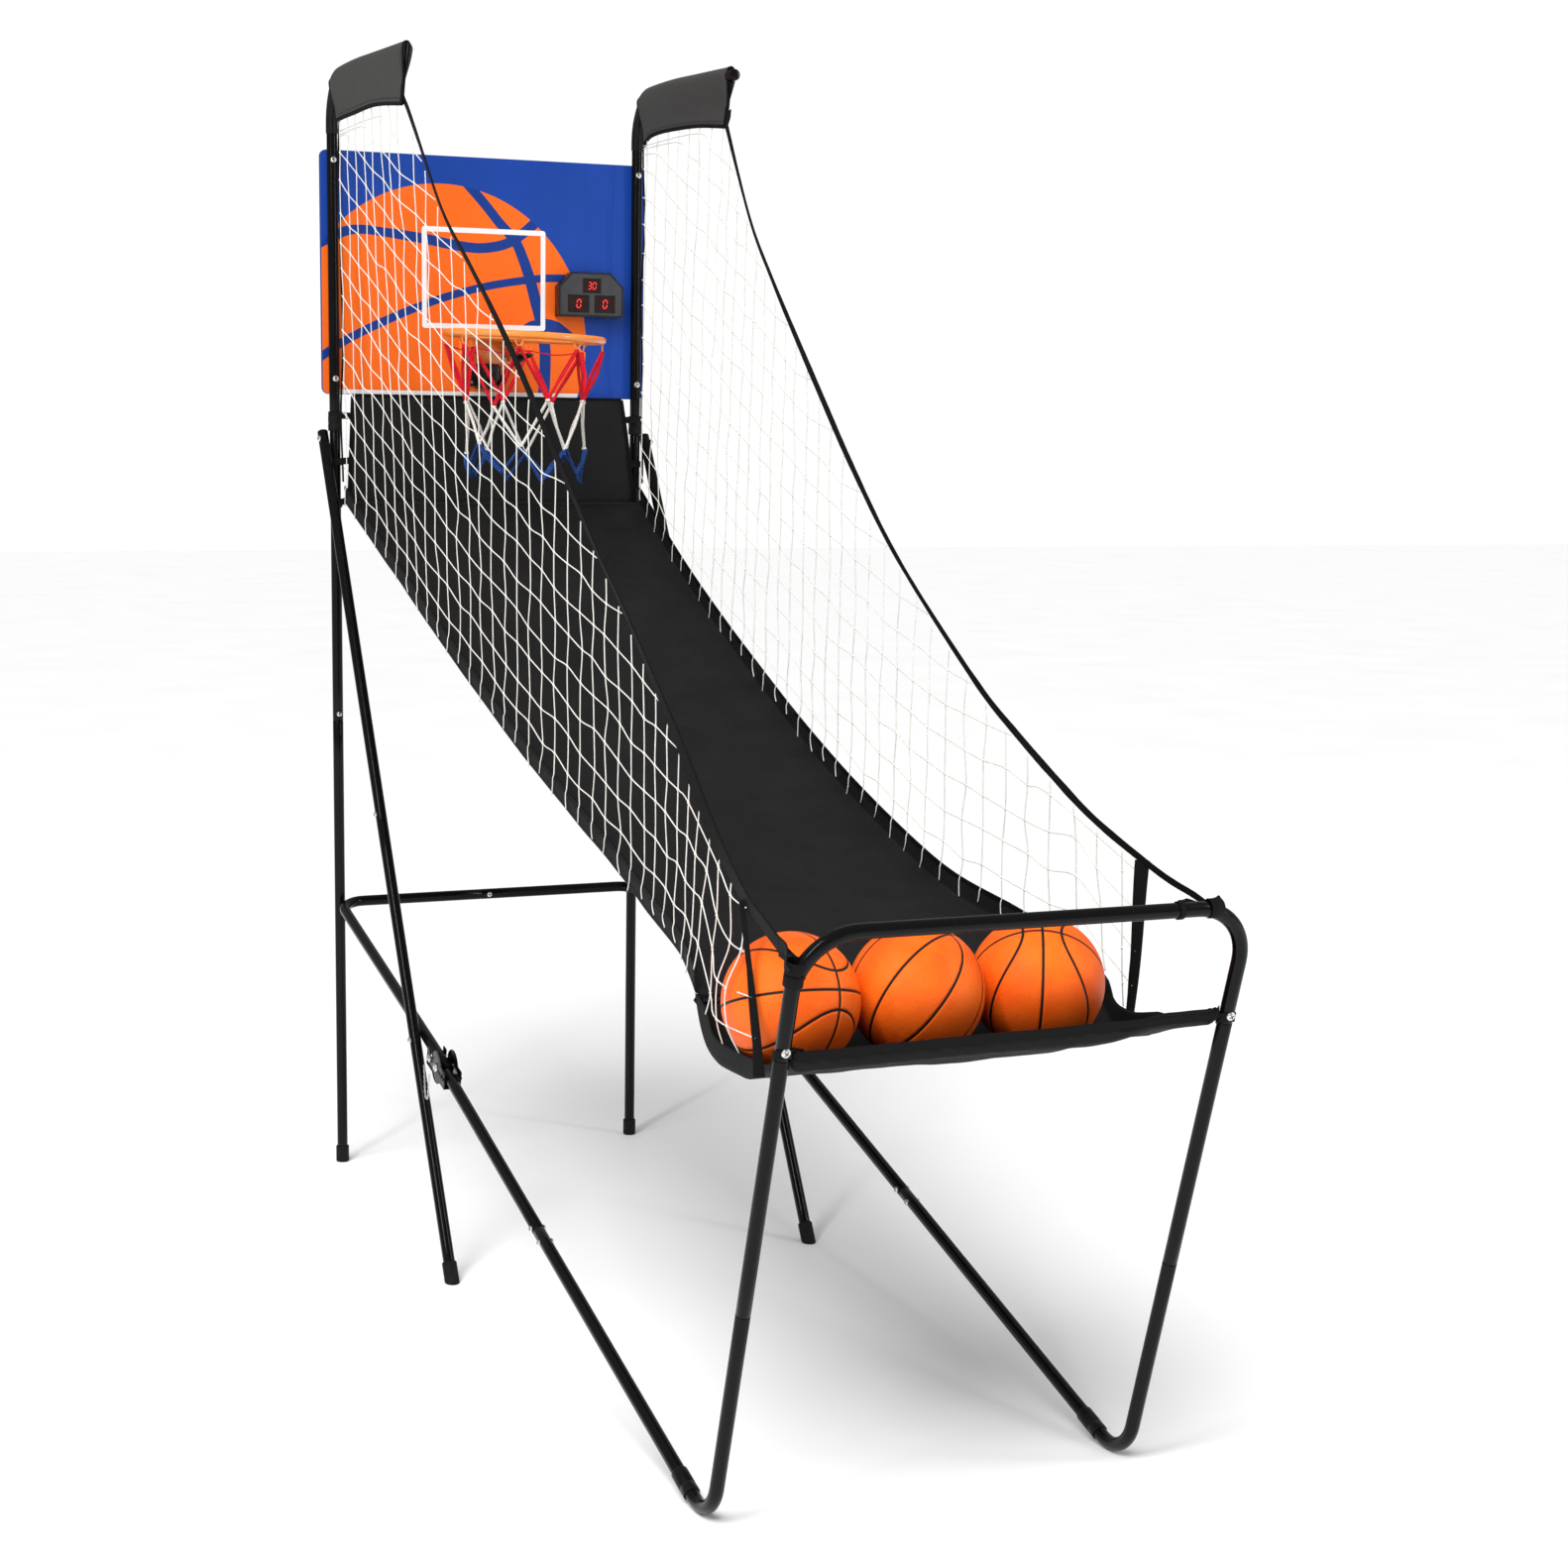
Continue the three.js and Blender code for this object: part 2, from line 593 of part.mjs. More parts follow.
function scoreboard() {
  const back = BOARD_Y - FIT;
  const floor = SCORE.low + SCORE.wall;
  const shell = cut(
    plateAlongY(scoreOutline(0), SCORE.front, back - SCORE.front),
    plateAlongY(scoreOutline(SCORE.wall), SCORE.front - 5, back - SCORE.wall - SCORE.front + 5),
    boxSolid([130, 1773, SCORE.low - 1], [182, 1787, SCORE.low + 1.8]),
    boxSolid([150, 1775, SCORE.low - 1], [178, 1785, floor + 1]),
    rodAlongZ(3.9, point(228, 1780, floor), 8));
  addPiece('scoreboard_housing', shell, MATERIALS.housing);
  const windows = WINDOWS.map(([x, z, w, h]) => boxSolid(
    [x - w / 2, SCORE.front - 1, z - h / 2], [x + w / 2, SCORE.front + 1.1, z + h / 2]));
  const face = plateAlongY(scoreOutline(SCORE.wall + FIT), SCORE.front + 0.3, 2.2);
  addPiece('scoreboard_face', cut(face, ...windows), MATERIALS.face);
  addPiece('battery_cover',
    boxSolid([134, 1773.3, SCORE.low], [181.6, 1786.7, SCORE.low + 1.5]), MATERIALS.housing);
  const button = [[0, 0], [3.5, 0], [3.5, 5.3], [5.5, 5.3], [5.5, 6.5], [0, 6.5]];
  addPiece('power_button',
    alongAxis(lathe(button, 16), point(228, 1780, floor - 5), point(0, 0, 1)), MATERIALS.housing);
}

function rodAlongZ(radius, centre, length, sides = 16) {
  return alongAxis(new THREE.CylinderGeometry(radius, radius, length, sides), centre, point(0, 0, 1));
}

// Ring, shelf, gussets and wall plate, welded into one piece.
function rim() {
  const ring = new THREE.TorusGeometry(RIM_R, RIM_TUBE_R, 10, 40)
    .rotateX(RIM_DROOP)
    .rotateY(RIM_LEAN)
    .translate(RIM_CENTRE.x, RIM_CENTRE.y, RIM_CENTRE.z);
  const back = BOARD_Y - FIT;
  const PLATE = { half: 52, low: 1477, high: 1529, thickness: 3 };
  const plate = boxSolid([-PLATE.half, back - PLATE.thickness, PLATE.low], [PLATE.half, back, PLATE.high]);
  const shelfOutline = new THREE.Shape([
    [-62, RIM_CENTRE.y + RIM_R - 14], [62, RIM_CENTRE.y + RIM_R - 14], [PLATE.half, back - 1], [-PLATE.half, back - 1],
  ].map(([x, y]) => new THREE.Vector2(x, y)));
  const shelf = new THREE.ExtrudeGeometry(shelfOutline, { depth: 3, bevelEnabled: false })
    .translate(0, 0, 1518);
  const gusset = [[1716, 1519.5], [back - 12, 1481], [back - 1, 1481], [back - 1, 1519.5]];
  const gussets = [-44, 41].map((x) => plateAlongX(gusset, x, 3));
  addPiece('rim', join(ring, plate, shelf, ...gussets), MATERIALS.rim);
}

const NET_STATIONS = [ // height, radius, sideways drift, forward drift
  [1508.5, 137, 0, 0],
  [1460, 121, -2, -6],
  [1400, 108, -5, -16],
  [1320, 102, -5, -18],
  [1271, 100, -5, -18],
];

// The net hangs from the ring. It is open at the back, where the sensor's arm reaches in.
function hoopNet() {
  const half = THREE.MathUtils.degToRad(150);
  const rows = NET_STATIONS.length - 1;
  addPiece('hoop_net', sheet(20, rows, (u, v, side) => {
    const [height, radius, driftX, driftY] = NET_STATIONS[Math.round(v * rows)];
    const angle = THREE.MathUtils.lerp(-half, half, u);
    const r = radius - 2 * side;
    const [dx, dy] = [r * Math.sin(angle), -r * Math.cos(angle)];
    const rise = v === 0 ? dy * Math.tan(RIM_DROOP) - dx * Math.tan(RIM_LEAN) : 0;
    return point(RIM_CENTRE.x + dx + driftX, RIM_CENTRE.y + dy + driftY, height + rise);
  }), MATERIALS.hoopNet);
}

const SENSOR = { x: -4, y: 1762, half: 18, low: 1431, high: 1475 };
const PADDLE_PIVOT = { y: 1772, z: 1441 };

function sensor() {
  const pivot = point(SENSOR.x, PADDLE_PIVOT.y, PADDLE_PIVOT.z);
  addPiece('sensor_box', cut(
    boxSolid([SENSOR.x - SENSOR.half, SENSOR.y, SENSOR.low], [SENSOR.x + SENSOR.half, BOARD_Y - FIT, SENSOR.high]),
    boxSolid([SENSOR.x - 6, SENSOR.y - 5, SENSOR.low - 5], [SENSOR.x + 6, PADDLE_PIVOT.y + 7, 1450]),
    rodAlongX(1.7, pivot, 19, 12)), MATERIALS.housing);
  const arm = [
    [PADDLE_PIVOT.y, 1443], [1719, 1441], [1602, 1483], [1602, 1480], [1720, 1437], [PADDLE_PIVOT.y, 1439],
  ];
  const cup = [
    [-7, 1620, 1476], [-19, 1574, 1489], [19, 1574, 1489], [7, 1620, 1476],
  ];
  const hood = loft([0, 1].map((side) => cup.map(([x, y, z]) => point(SENSOR.x + x, y, z - 4 * side))),
    (p) => new THREE.Vector2(p.x, p.y));
  addPiece('sensor_paddle', join(
    plateAlongX(arm, SENSOR.x - 4, 8),
    rodAlongX(4, pivot, 11.4, 16),
    rodAlongX(1.4, pivot, 17.6, 12),
    hood), MATERIALS.housing);
}

// ---------------------------------------------------------------- cloth, nets and straps

const HEM = 32; // height of the ramp's side hems
const CLOTH = 2;
const RAMP = [ // y, half width, height of the lower edge
  [1740, 284, 1222], [1500, 266, 1110], [1300, 256, 1022], [1100, 248, 940], [900, 240, 863],
  [700, 233, 795], [500, 230, 735], [380, 236, 702], [250, 250, 680], [200, 258, 670], [98, 284, 652],
];
const TOP_STRAP = [ // y, half width, height of the middle
  [1345, 281, 1864], [1210, 267, 1700], [1095, 255, 1600], [972, 245, 1500], [856, 239, 1400],
  [738, 234, 1300], [617, 231.5, 1200], [475, 233, 1100], [330, 239, 1000], [246, 246, 950],
  [160, 257, 900], [66, 270, 850], [-62, 288, 800], [-140, 296, 780], [-206, 297, 757],
];
const STRAP_WIDTH = 14;
const TRAY_SIDE_TOP = [[98, 654], [85, 655], [50, 640], [20, 612], [-120, 612], [-150, 622], [-203, 646]];

function along(table, y, column) {
  const last = table.length - 2;
  const k = Math.min(last, Math.max(0, table.findIndex((row) => row[0] <= y) - 1));
  const t = (table[k][0] - y) / (table[k][0] - table[k + 1][0]);
  return THREE.MathUtils.lerp(table[k][column], table[k + 1][column], THREE.MathUtils.clamp(t, 0, 1));
}

function ramp() {
  const SAG = 14;
  const [rear] = RAMP[0];
  const [front] = RAMP.at(-1);
  const outlines = RAMP.map(([y, w, z]) => {
    const sag = SAG * Math.sin((Math.PI * (rear - y)) / (rear - front));
    const under = [[-w, HEM], [-w, 0], [-w / 2, -0.75 * sag], [0, -sag], [w / 2, -0.75 * sag], [w, 0], [w, HEM]];
    const inner = w - CLOTH;
    const over = [
      [inner, HEM], [inner, CLOTH], [w / 2, CLOTH - 0.75 * sag], [0, CLOTH - sag],
      [-w / 2, CLOTH - 0.75 * sag], [-inner, CLOTH], [-inner, HEM],
    ];
    return [...under, ...over].map(([x, dz]) => point(x, y, z + dz));
  });
  addPiece('ramp', loft(outlines), MATERIALS.cloth);
}

function backPanel() {
  addPiece('back_panel', sheet(8, 5, (u, v, side) => {
    const half = THREE.MathUtils.lerp(275, 258, v);
    const y = THREE.MathUtils.lerp(1742, 1772, v) + CLOTH * side;
    return point(THREE.MathUtils.lerp(-half, half, u), y, THREE.MathUtils.lerp(1224, 1415, v));
  }), MATERIALS.cloth);
}

// The tray's walls and floor, seen from the side: the inner face and the outer face.
function tray() {
  const inner = [
    [-203, 647], [-201, 624], [-120, 601], [-72, 584], [-52, TRAY_FLOOR_Z], [20, TRAY_FLOOR_Z], [60, 600], [85, 645],
  ];
  const outer = [
    [-207, 646], [-205, 620.5], [-121, 597], [-73, 580], [-53, 577.5], [22, 577.5], [63, 597], [89, 645],
  ];
  const block = plateAlongX([...outer, ...TRAY_SIDE_TOP.slice(1)], -TRAY_HALF - 3, 2 * TRAY_HALF + 6);
  const hollow = plateAlongX([...inner, [85, 760], [-203, 760]], -TRAY_HALF, 2 * TRAY_HALF);
  addPiece('tray', cut(block, hollow), MATERIALS.cloth);
}

// A flat strap through a row of points. Its width lies across the run and its thickness along X.
function strap(name, points, width, thickness, material) {
  const outlines = points.map((p, i) => {
    const before = points[Math.max(0, i - 1)];
    const after = points[Math.min(points.length - 1, i + 1)];
    const run = after.clone().sub(before).setX(0).normalize();
    const across = point(0, -run.z, run.y).multiplyScalar(width / 2);
    return [[-1, -1], [-1, 1], [1, 1], [1, -1]].map(([sx, sw]) => (
      p.clone().add(point((sx * thickness) / 2, 0, 0)).addScaledVector(across, sw)));
  });
  addPiece(name, loft(outlines, (p) => new THREE.Vector2(p.x, p.z)), material);
}

const FLAGS = {
  left: {
    top: [[1806, 1930], [1789, 1952], [1742, 1968], [1676, 1973], [1490, 1968], [1323, 1961]],
    low: [[1739, 1885], [1735, 1885], [1710, 1886], [1640, 1886], [1500, 1884], [1353, 1869]],
  },
  right: {
    top: [[1801, 1926], [1772, 1955], [1742, 1968], [1676, 1973], [1500, 1967], [1355, 1961]],
    low: [[1740, 1871], [1733, 1880], [1710, 1888], [1640, 1887], [1500, 1880], [1373, 1866]],
  },
};
const FLAG_TAPER = [0, 0, 0.2, 0.8, 1, 1]; // how far the two layers close up at the lower edge

// Cloth folded over the arm, with both layers hanging from it.
function flag(label, sign) {
  const OUTER = 12;
  const INNER = 10.3;
  const { top, low } = FLAGS[label];
  const outlines = top.map(([topY, topZ], i) => {
    const [lowY, lowZ] = low[i];
    const closing = 6.5 * FLAG_TAPER[i];
    const at = (x, up) => {
      const t = (topZ - OUTER - up) / (topZ - OUTER - lowZ);
      const y = THREE.MathUtils.lerp(topY, lowY, THREE.MathUtils.clamp(t, 0, 1));
      return point(sign * POST_X + x, y, up);
    };
    const bend = (radius, from, to) => [0, 30, 60, 90, 120, 150, 180].map((degrees) => {
      const angle = THREE.MathUtils.degToRad(THREE.MathUtils.lerp(from, to, degrees / 180));
      return at(radius * Math.cos(angle), topZ - OUTER + radius * Math.sin(angle));
    });
    return [
      at(OUTER - closing, lowZ), ...bend(OUTER, 0, 180), at(closing - OUTER, lowZ),
      at(closing - INNER, lowZ), ...bend(INNER, 180, 0), at(INNER - closing, lowZ),
    ];
  });
  addPiece(`flag_${label}`, loft(outlines), MATERIALS.flag);
}

// Upper edge of a side net at a distance along the lane: under the top strap, then under the flag.
function netTop(label, y) {
  if (y < TOP_STRAP[0][0]) {
    const slope = (along(TOP_STRAP, y + 20, 2) - along(TOP_STRAP, y - 20, 2)) / 40;
    const x = along(TOP_STRAP, y, 1);
    return { x, z: along(TOP_STRAP, y, 2) - 4 - 7 * Math.hypot(1, slope) };
  }
  return { x: POST_X, z: along([...FLAGS[label].low, [1300, 1855]], y, 1) - 3 };
}

function netBottom(y) {
  if (y < RAMP.at(-1)[0]) return { x: TRAY_HALF + 1, z: along(TRAY_SIDE_TOP, y, 1) + 2 };
  return { x: along(RAMP, y, 1) - 1, z: along(RAMP, y, 2) + HEM + 1 };
}

// The net stands out around the ball that leans on it.
function ballBulge(y, z) {
  const distance = Math.hypot(y - BALL_Y, z - (TRAY_FLOOR_Z + BALL_R));
  return 19 * Math.max(0, 1 - (distance / 66) ** 2);
}

// Columns of a side net along the lane. They include every station of the ramp, which it is sewn to.
function netColumns(frontY) {
  const halfway = RAMP.slice(1).map(([y], i) => (y + RAMP[i][0]) / 2);
  const columns = [1733, ...RAMP.slice(1).map(([y]) => y), ...halfway, 85, 50, 20, -13, -46, frontY];
  return columns.sort((a, b) => a - b);
}

function sideNet(label, sign, frontY) {
  const columns = netColumns(frontY);
  addPiece(`side_net_${label}`, sheet(columns.length - 1, 6, (u, v, side) => {
    const y = columns[Math.round(u * (columns.length - 1))];
    const low = netBottom(y);
    const high = netTop(label, y);
    const z = THREE.MathUtils.lerp(low.z, high.z, v);
    const bulge = sign < 0 ? ballBulge(y, z) : 0;
    return point(sign * (THREE.MathUtils.lerp(low.x, high.x, v) + bulge + CLOTH * side), y, z);
  }), MATERIALS.net);
}

const FRONT_STRAPS = { left: { x: -300, y: [-140, -93] }, right: { x: 297, y: [-18, -40] } };

function clothAndNets() {
  ramp();
  backPanel();
  tray();
  for (const { label, sign } of SIDES) {
    flag(label, sign);
    strap(`top_strap_${label}`,
      TOP_STRAP.map(([y, x, z]) => point(sign * x, y, z)), STRAP_WIDTH, CLOTH, MATERIALS.webbing);
    const { x, y } = FRONT_STRAPS[label];
    strap(`front_strap_${label}`, [point(x, y[0], 600), point(x, y[1], 790)], 25, CLOTH, MATERIALS.webbing);
    sideNet(label, sign, label === 'left' ? -86 : -60);
  }
}

// ---------------------------------------------------------------- balls

function balls() {
  for (const [label, x] of Object.entries(BALL_X)) {
    const centre = [x, BALL_Y, TRAY_FLOOR_Z + FIT + BALL_R];
    const valve = rodAlongZ(1.5, point(x, BALL_Y, centre[2] - BALL_R + 2), 10, 8);
    addPiece(`ball_${label}`, cut(
      new THREE.SphereGeometry(BALL_R, 20, 14).rotateX(Math.PI / 2).translate(...centre),
      new THREE.SphereGeometry(BALL_R - BALL_SHELL, 20, 14).rotateX(Math.PI / 2).translate(...centre),
      valve), MATERIALS.ball);
  }
}

// ---------------------------------------------------------------- assembly

rearPosts();
braces();
rearBar();
foldHinges();
sideBars();
legs();
backboard();
scoreboard();
rim();
hoopNet();
sensor();
clothAndNets();
balls();

// The origin moves to the middle of the machine's footprint.
const extent = new THREE.Box3().setFromObject(machine);
const middle = extent.getCenter(new THREE.Vector3());
machine.children.forEach((mesh) => mesh.geometry.translate(-middle.x, -middle.y, -extent.min.z));

export default machine;
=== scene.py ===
"""Looks of the folding basketball hoop machine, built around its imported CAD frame.

Metres, +Z up, +Y from the player to the backboard. The drawing dimensions below are in millimetres, in
the CAD drawing's own frame, whose y = 0 is near the front floor bends. place() turns them into the row frame.
"""

import math
import random

import bmesh
import bpy
from mathutils import Matrix, Quaternion, Vector, noise
from mathutils.geometry import delaunay_2d_cdt


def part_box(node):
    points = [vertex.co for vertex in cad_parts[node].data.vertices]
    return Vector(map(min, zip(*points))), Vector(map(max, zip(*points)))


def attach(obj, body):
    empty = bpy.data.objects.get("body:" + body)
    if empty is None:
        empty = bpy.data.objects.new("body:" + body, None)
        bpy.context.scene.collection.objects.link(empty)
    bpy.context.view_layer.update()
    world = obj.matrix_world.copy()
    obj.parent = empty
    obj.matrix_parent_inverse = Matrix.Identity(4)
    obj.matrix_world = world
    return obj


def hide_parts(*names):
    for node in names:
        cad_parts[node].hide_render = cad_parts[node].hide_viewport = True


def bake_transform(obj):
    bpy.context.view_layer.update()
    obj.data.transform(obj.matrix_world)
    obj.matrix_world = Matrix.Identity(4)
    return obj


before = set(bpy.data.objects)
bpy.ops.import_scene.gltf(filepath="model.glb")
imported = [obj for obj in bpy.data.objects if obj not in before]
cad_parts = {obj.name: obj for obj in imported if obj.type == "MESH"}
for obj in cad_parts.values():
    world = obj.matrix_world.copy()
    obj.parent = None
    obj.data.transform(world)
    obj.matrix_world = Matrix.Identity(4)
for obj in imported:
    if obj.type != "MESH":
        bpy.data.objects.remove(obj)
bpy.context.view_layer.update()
random.seed(7)

# ------------------------------------------------------------------ drawing dimensions, mm

TUBE_R = 9.5
POST_X, POST_Y = 289, 1782
POST_JOINTS_Z = (830, 1364)
ARM_Z, ARM_BEND_R, ARM_TIP = 1962, 80, (1332, 1948)
BRACE_FOOT, BRACE_TOP, BRACE_JOINT_Z = (316, 1011, 0), (310, 1782, 1338), 694
REAR_BAR_X, REAR_BAR_Y, REAR_BAR_Z = 295, 1762.5, 497
REAR_BAR_BEND_R, REAR_BAR_JOINT_X = 45, -22
FRONT_X = 300
FLOOR_BEND_R, FLOOR_BEND_Y = 60, 26
SIDE_RISE, LEG_LEAN = math.radians(16.8), math.radians(16.1)
HINGE_Y, SIDE_JOINT_Y, SIDE_END_Y = 1107, 636, 62
LEG_JOINT_Z, LOOP_JOINT_Z, LOOP_Z, LOOP_BEND_R = 299, 636, 788, 75
BOARD_FRONT_Y, BOARD_THICKNESS = 1792.3, 8
BOARD_HALF, BOARD_LOW, BOARD_HIGH, BOARD_CORNER = 308.5, 1417, 1842, 12
RIM_R, RIM_TUBE_R, RIM_CENTRE = 137, 6.5, (-3, 1571, 1517)
RIM_DROOP, RIM_LEAN = math.radians(1.5), math.radians(2)  # the front edge and the right side hang lower
BALL_R, BALL_Y, BALL_Z = 85, -46, 666.8
BALL_X = {"left": -218, "middle": -47.7, "right": 122.6}
SEAM_GAP, SEAM_BOW = 0.28, 0.85  # shape of a ball's two curved channels, in ball radii
SIDES = (("left", -1), ("right", 1))

HEM = 32
RAMP = [  # y, half width, height of the lower edge
    (1740, 284, 1222), (1500, 266, 1110), (1300, 256, 1022), (1100, 248, 940), (900, 240, 863),
    (700, 233, 795), (500, 230, 735), (380, 236, 702), (250, 250, 680), (200, 258, 670), (98, 284, 652)]
TOP_STRAP = [  # y, half width, height of the middle
    (1345, 281, 1864), (1210, 267, 1700), (1095, 255, 1600), (972, 245, 1500), (856, 239, 1400),
    (738, 234, 1300), (617, 231.5, 1200), (475, 233, 1100), (330, 239, 1000), (246, 246, 950),
    (160, 257, 900), (66, 270, 850), (-62, 288, 800), (-140, 296, 780), (-206, 297, 757)]
TRAY_SIDE_TOP = [(98, 654), (85, 655), (50, 640), (20, 612), (-120, 612), (-150, 622), (-203, 646)]
TRAY_PROFILE = [(-205, 646), (-204, 634), (-203, 623), (-180, 616), (-120.5, 599), (-72.5, 582),
                (-52, 579.5), (21, 579.5), (61.5, 598.5), (87, 645)]
FLAGS = {
    "left": (
        [(1752, 1961), (1735, 1969), (1705, 1973), (1600, 1973), (1490, 1969), (1323, 1963)],
        [(1746, 1885), (1735, 1885.5), (1705, 1886), (1640, 1886), (1500, 1884), (1353, 1869)]),
    "right": (
        [(1752, 1961), (1735, 1969), (1705, 1973), (1600, 1973), (1500, 1969), (1355, 1963)],
        [(1748, 1871), (1740, 1878), (1712, 1886), (1640, 1887), (1500, 1880), (1373, 1866)])}
# foot and top
FRONT_STRAPS = {"left": ((-300, -138, 600), (-289, -60, 798)), "right": ((295, 8, 600), (284, -27, 812))}
NET_FRONT = {"left": -56, "right": 14}
HOOP_NET = [(1508.5, 137, 0, 0), (1460, 121, -2, -6), (1400, 108, -5, -16), (1320, 102, -5, -18),
            (1271, 100, -5, -18)]
PIN_CHAIN = [(1141, 331), (1137, 285), (1128, 271), (1119, 287), (1112, 322)]  # y, z
NET_PITCH = 50

# The drawing's y = 0 in the row frame, read off the left rear post.
post_low, post_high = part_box("post_lower_left")
Y_SHIFT = POST_Y - 500 * (post_low[1] + post_high[1])


def place(x, y, z):
    """A drawing point in the row frame, in metres."""
    return Vector((x / 1000, (y - Y_SHIFT) / 1000, z / 1000))


# ------------------------------------------------------------------ camera

CAMERA_AT = place(-1526.7, -2856.9, 1322.0)
YAW, PITCH, ROLL = math.radians(22.19), math.radians(-9.48), math.radians(0.59)


def make_camera():
    data = bpy.data.cameras.new("photo_camera")
    data.sensor_width = 36
    data.lens = 60.01
    data.shift_x = 0.0741
    data.shift_y = 0.0661
    data.clip_end = 60
    camera = bpy.data.objects.new("photo_camera", data)
    bpy.context.scene.collection.objects.link(camera)
    forward = Vector((math.sin(YAW) * math.cos(PITCH), math.cos(YAW) * math.cos(PITCH), math.sin(PITCH)))
    level_right = Vector((math.cos(YAW), -math.sin(YAW), 0))
    level_up = level_right.cross(forward)
    right = math.cos(ROLL) * level_right + math.sin(ROLL) * level_up
    up = -math.sin(ROLL) * level_right + math.cos(ROLL) * level_up
    turn = Matrix((right, up, -forward)).transposed().to_4x4()
    camera.matrix_world = Matrix.Translation(CAMERA_AT) @ turn
    bpy.context.scene.camera = camera


make_camera()
bpy.context.scene.view_settings.view_transform = "Standard"

# ------------------------------------------------------------------ mesh helpers


def add_mesh(name, vertices, faces, materials, uvs=None, smooth=True, slots=None):
    """A mesh object in the row frame. uvs holds one (u, v) pair for each vertex, with u around a tube."""
    mesh = bpy.data.meshes.new(name)
    mesh.from_pydata([tuple(v) for v in vertices], [], faces)
    if uvs:
        layer = mesh.uv_layers.new(name="UVMap").data
        for polygon in mesh.polygons:
            us = [uvs[mesh.loops[i].vertex_index][0] for i in polygon.loop_indices]
            wrap = max(us) - min(us) > 0.5 and max(us) < 1
            for i, u in zip(polygon.loop_indices, us):
                layer[i].uv = (u + 1 if wrap and u < 0.5 else u, uvs[mesh.loops[i].vertex_index][1])
    for material in materials if isinstance(materials, (list, tuple)) else [materials]:
        mesh.materials.append(material)
    for i, polygon in enumerate(mesh.polygons):
        polygon.use_smooth = smooth
        if slots:
            polygon.material_index = slots[i]
    obj = bpy.data.objects.new(name, mesh)
    bpy.context.scene.collection.objects.link(obj)
    return obj


def tidy_normals(obj, sharp=None):
    """Turns the faces outwards, and keeps edges sharper than this many degrees crisp."""
    bm = bmesh.new()
    bm.from_mesh(obj.data)
    bmesh.ops.recalc_face_normals(bm, faces=bm.faces)
    if sharp is not None:
        for edge in bm.edges:
            edge.smooth = edge.calc_face_angle(0) < math.radians(sharp)
    bm.to_mesh(obj.data)
    bm.free()
    return obj


def frames_along(points, closed=False):
    """Tangent, normal and binormal at each point, turning as little as possible from point to point."""
    count = len(points)
    tangents = []
    for i in range(count):
        before = points[(i - 1) % count] if closed or i > 0 else points[0]
        after = points[(i + 1) % count] if closed or i < count - 1 else points[-1]
        tangents.append((after - before).normalized())
    seed = Vector((0, 0, 1)) if abs(tangents[0].z) < 0.9 else Vector((1, 0, 0))
    normal = tangents[0].cross(seed).normalized()
    result = []
    for i, tangent in enumerate(tangents):
        if i > 0:
            normal = tangents[i - 1].rotation_difference(tangent) @ normal
        normal = (normal - tangent * normal.dot(tangent)).normalized()
        result.append((tangent, normal, tangent.cross(normal)))
    return result


def facing(x, y, z):
    """The direction of a ribbon's width, where it is the same all along."""
    return lambda i, tangent: Vector((x, y, z))


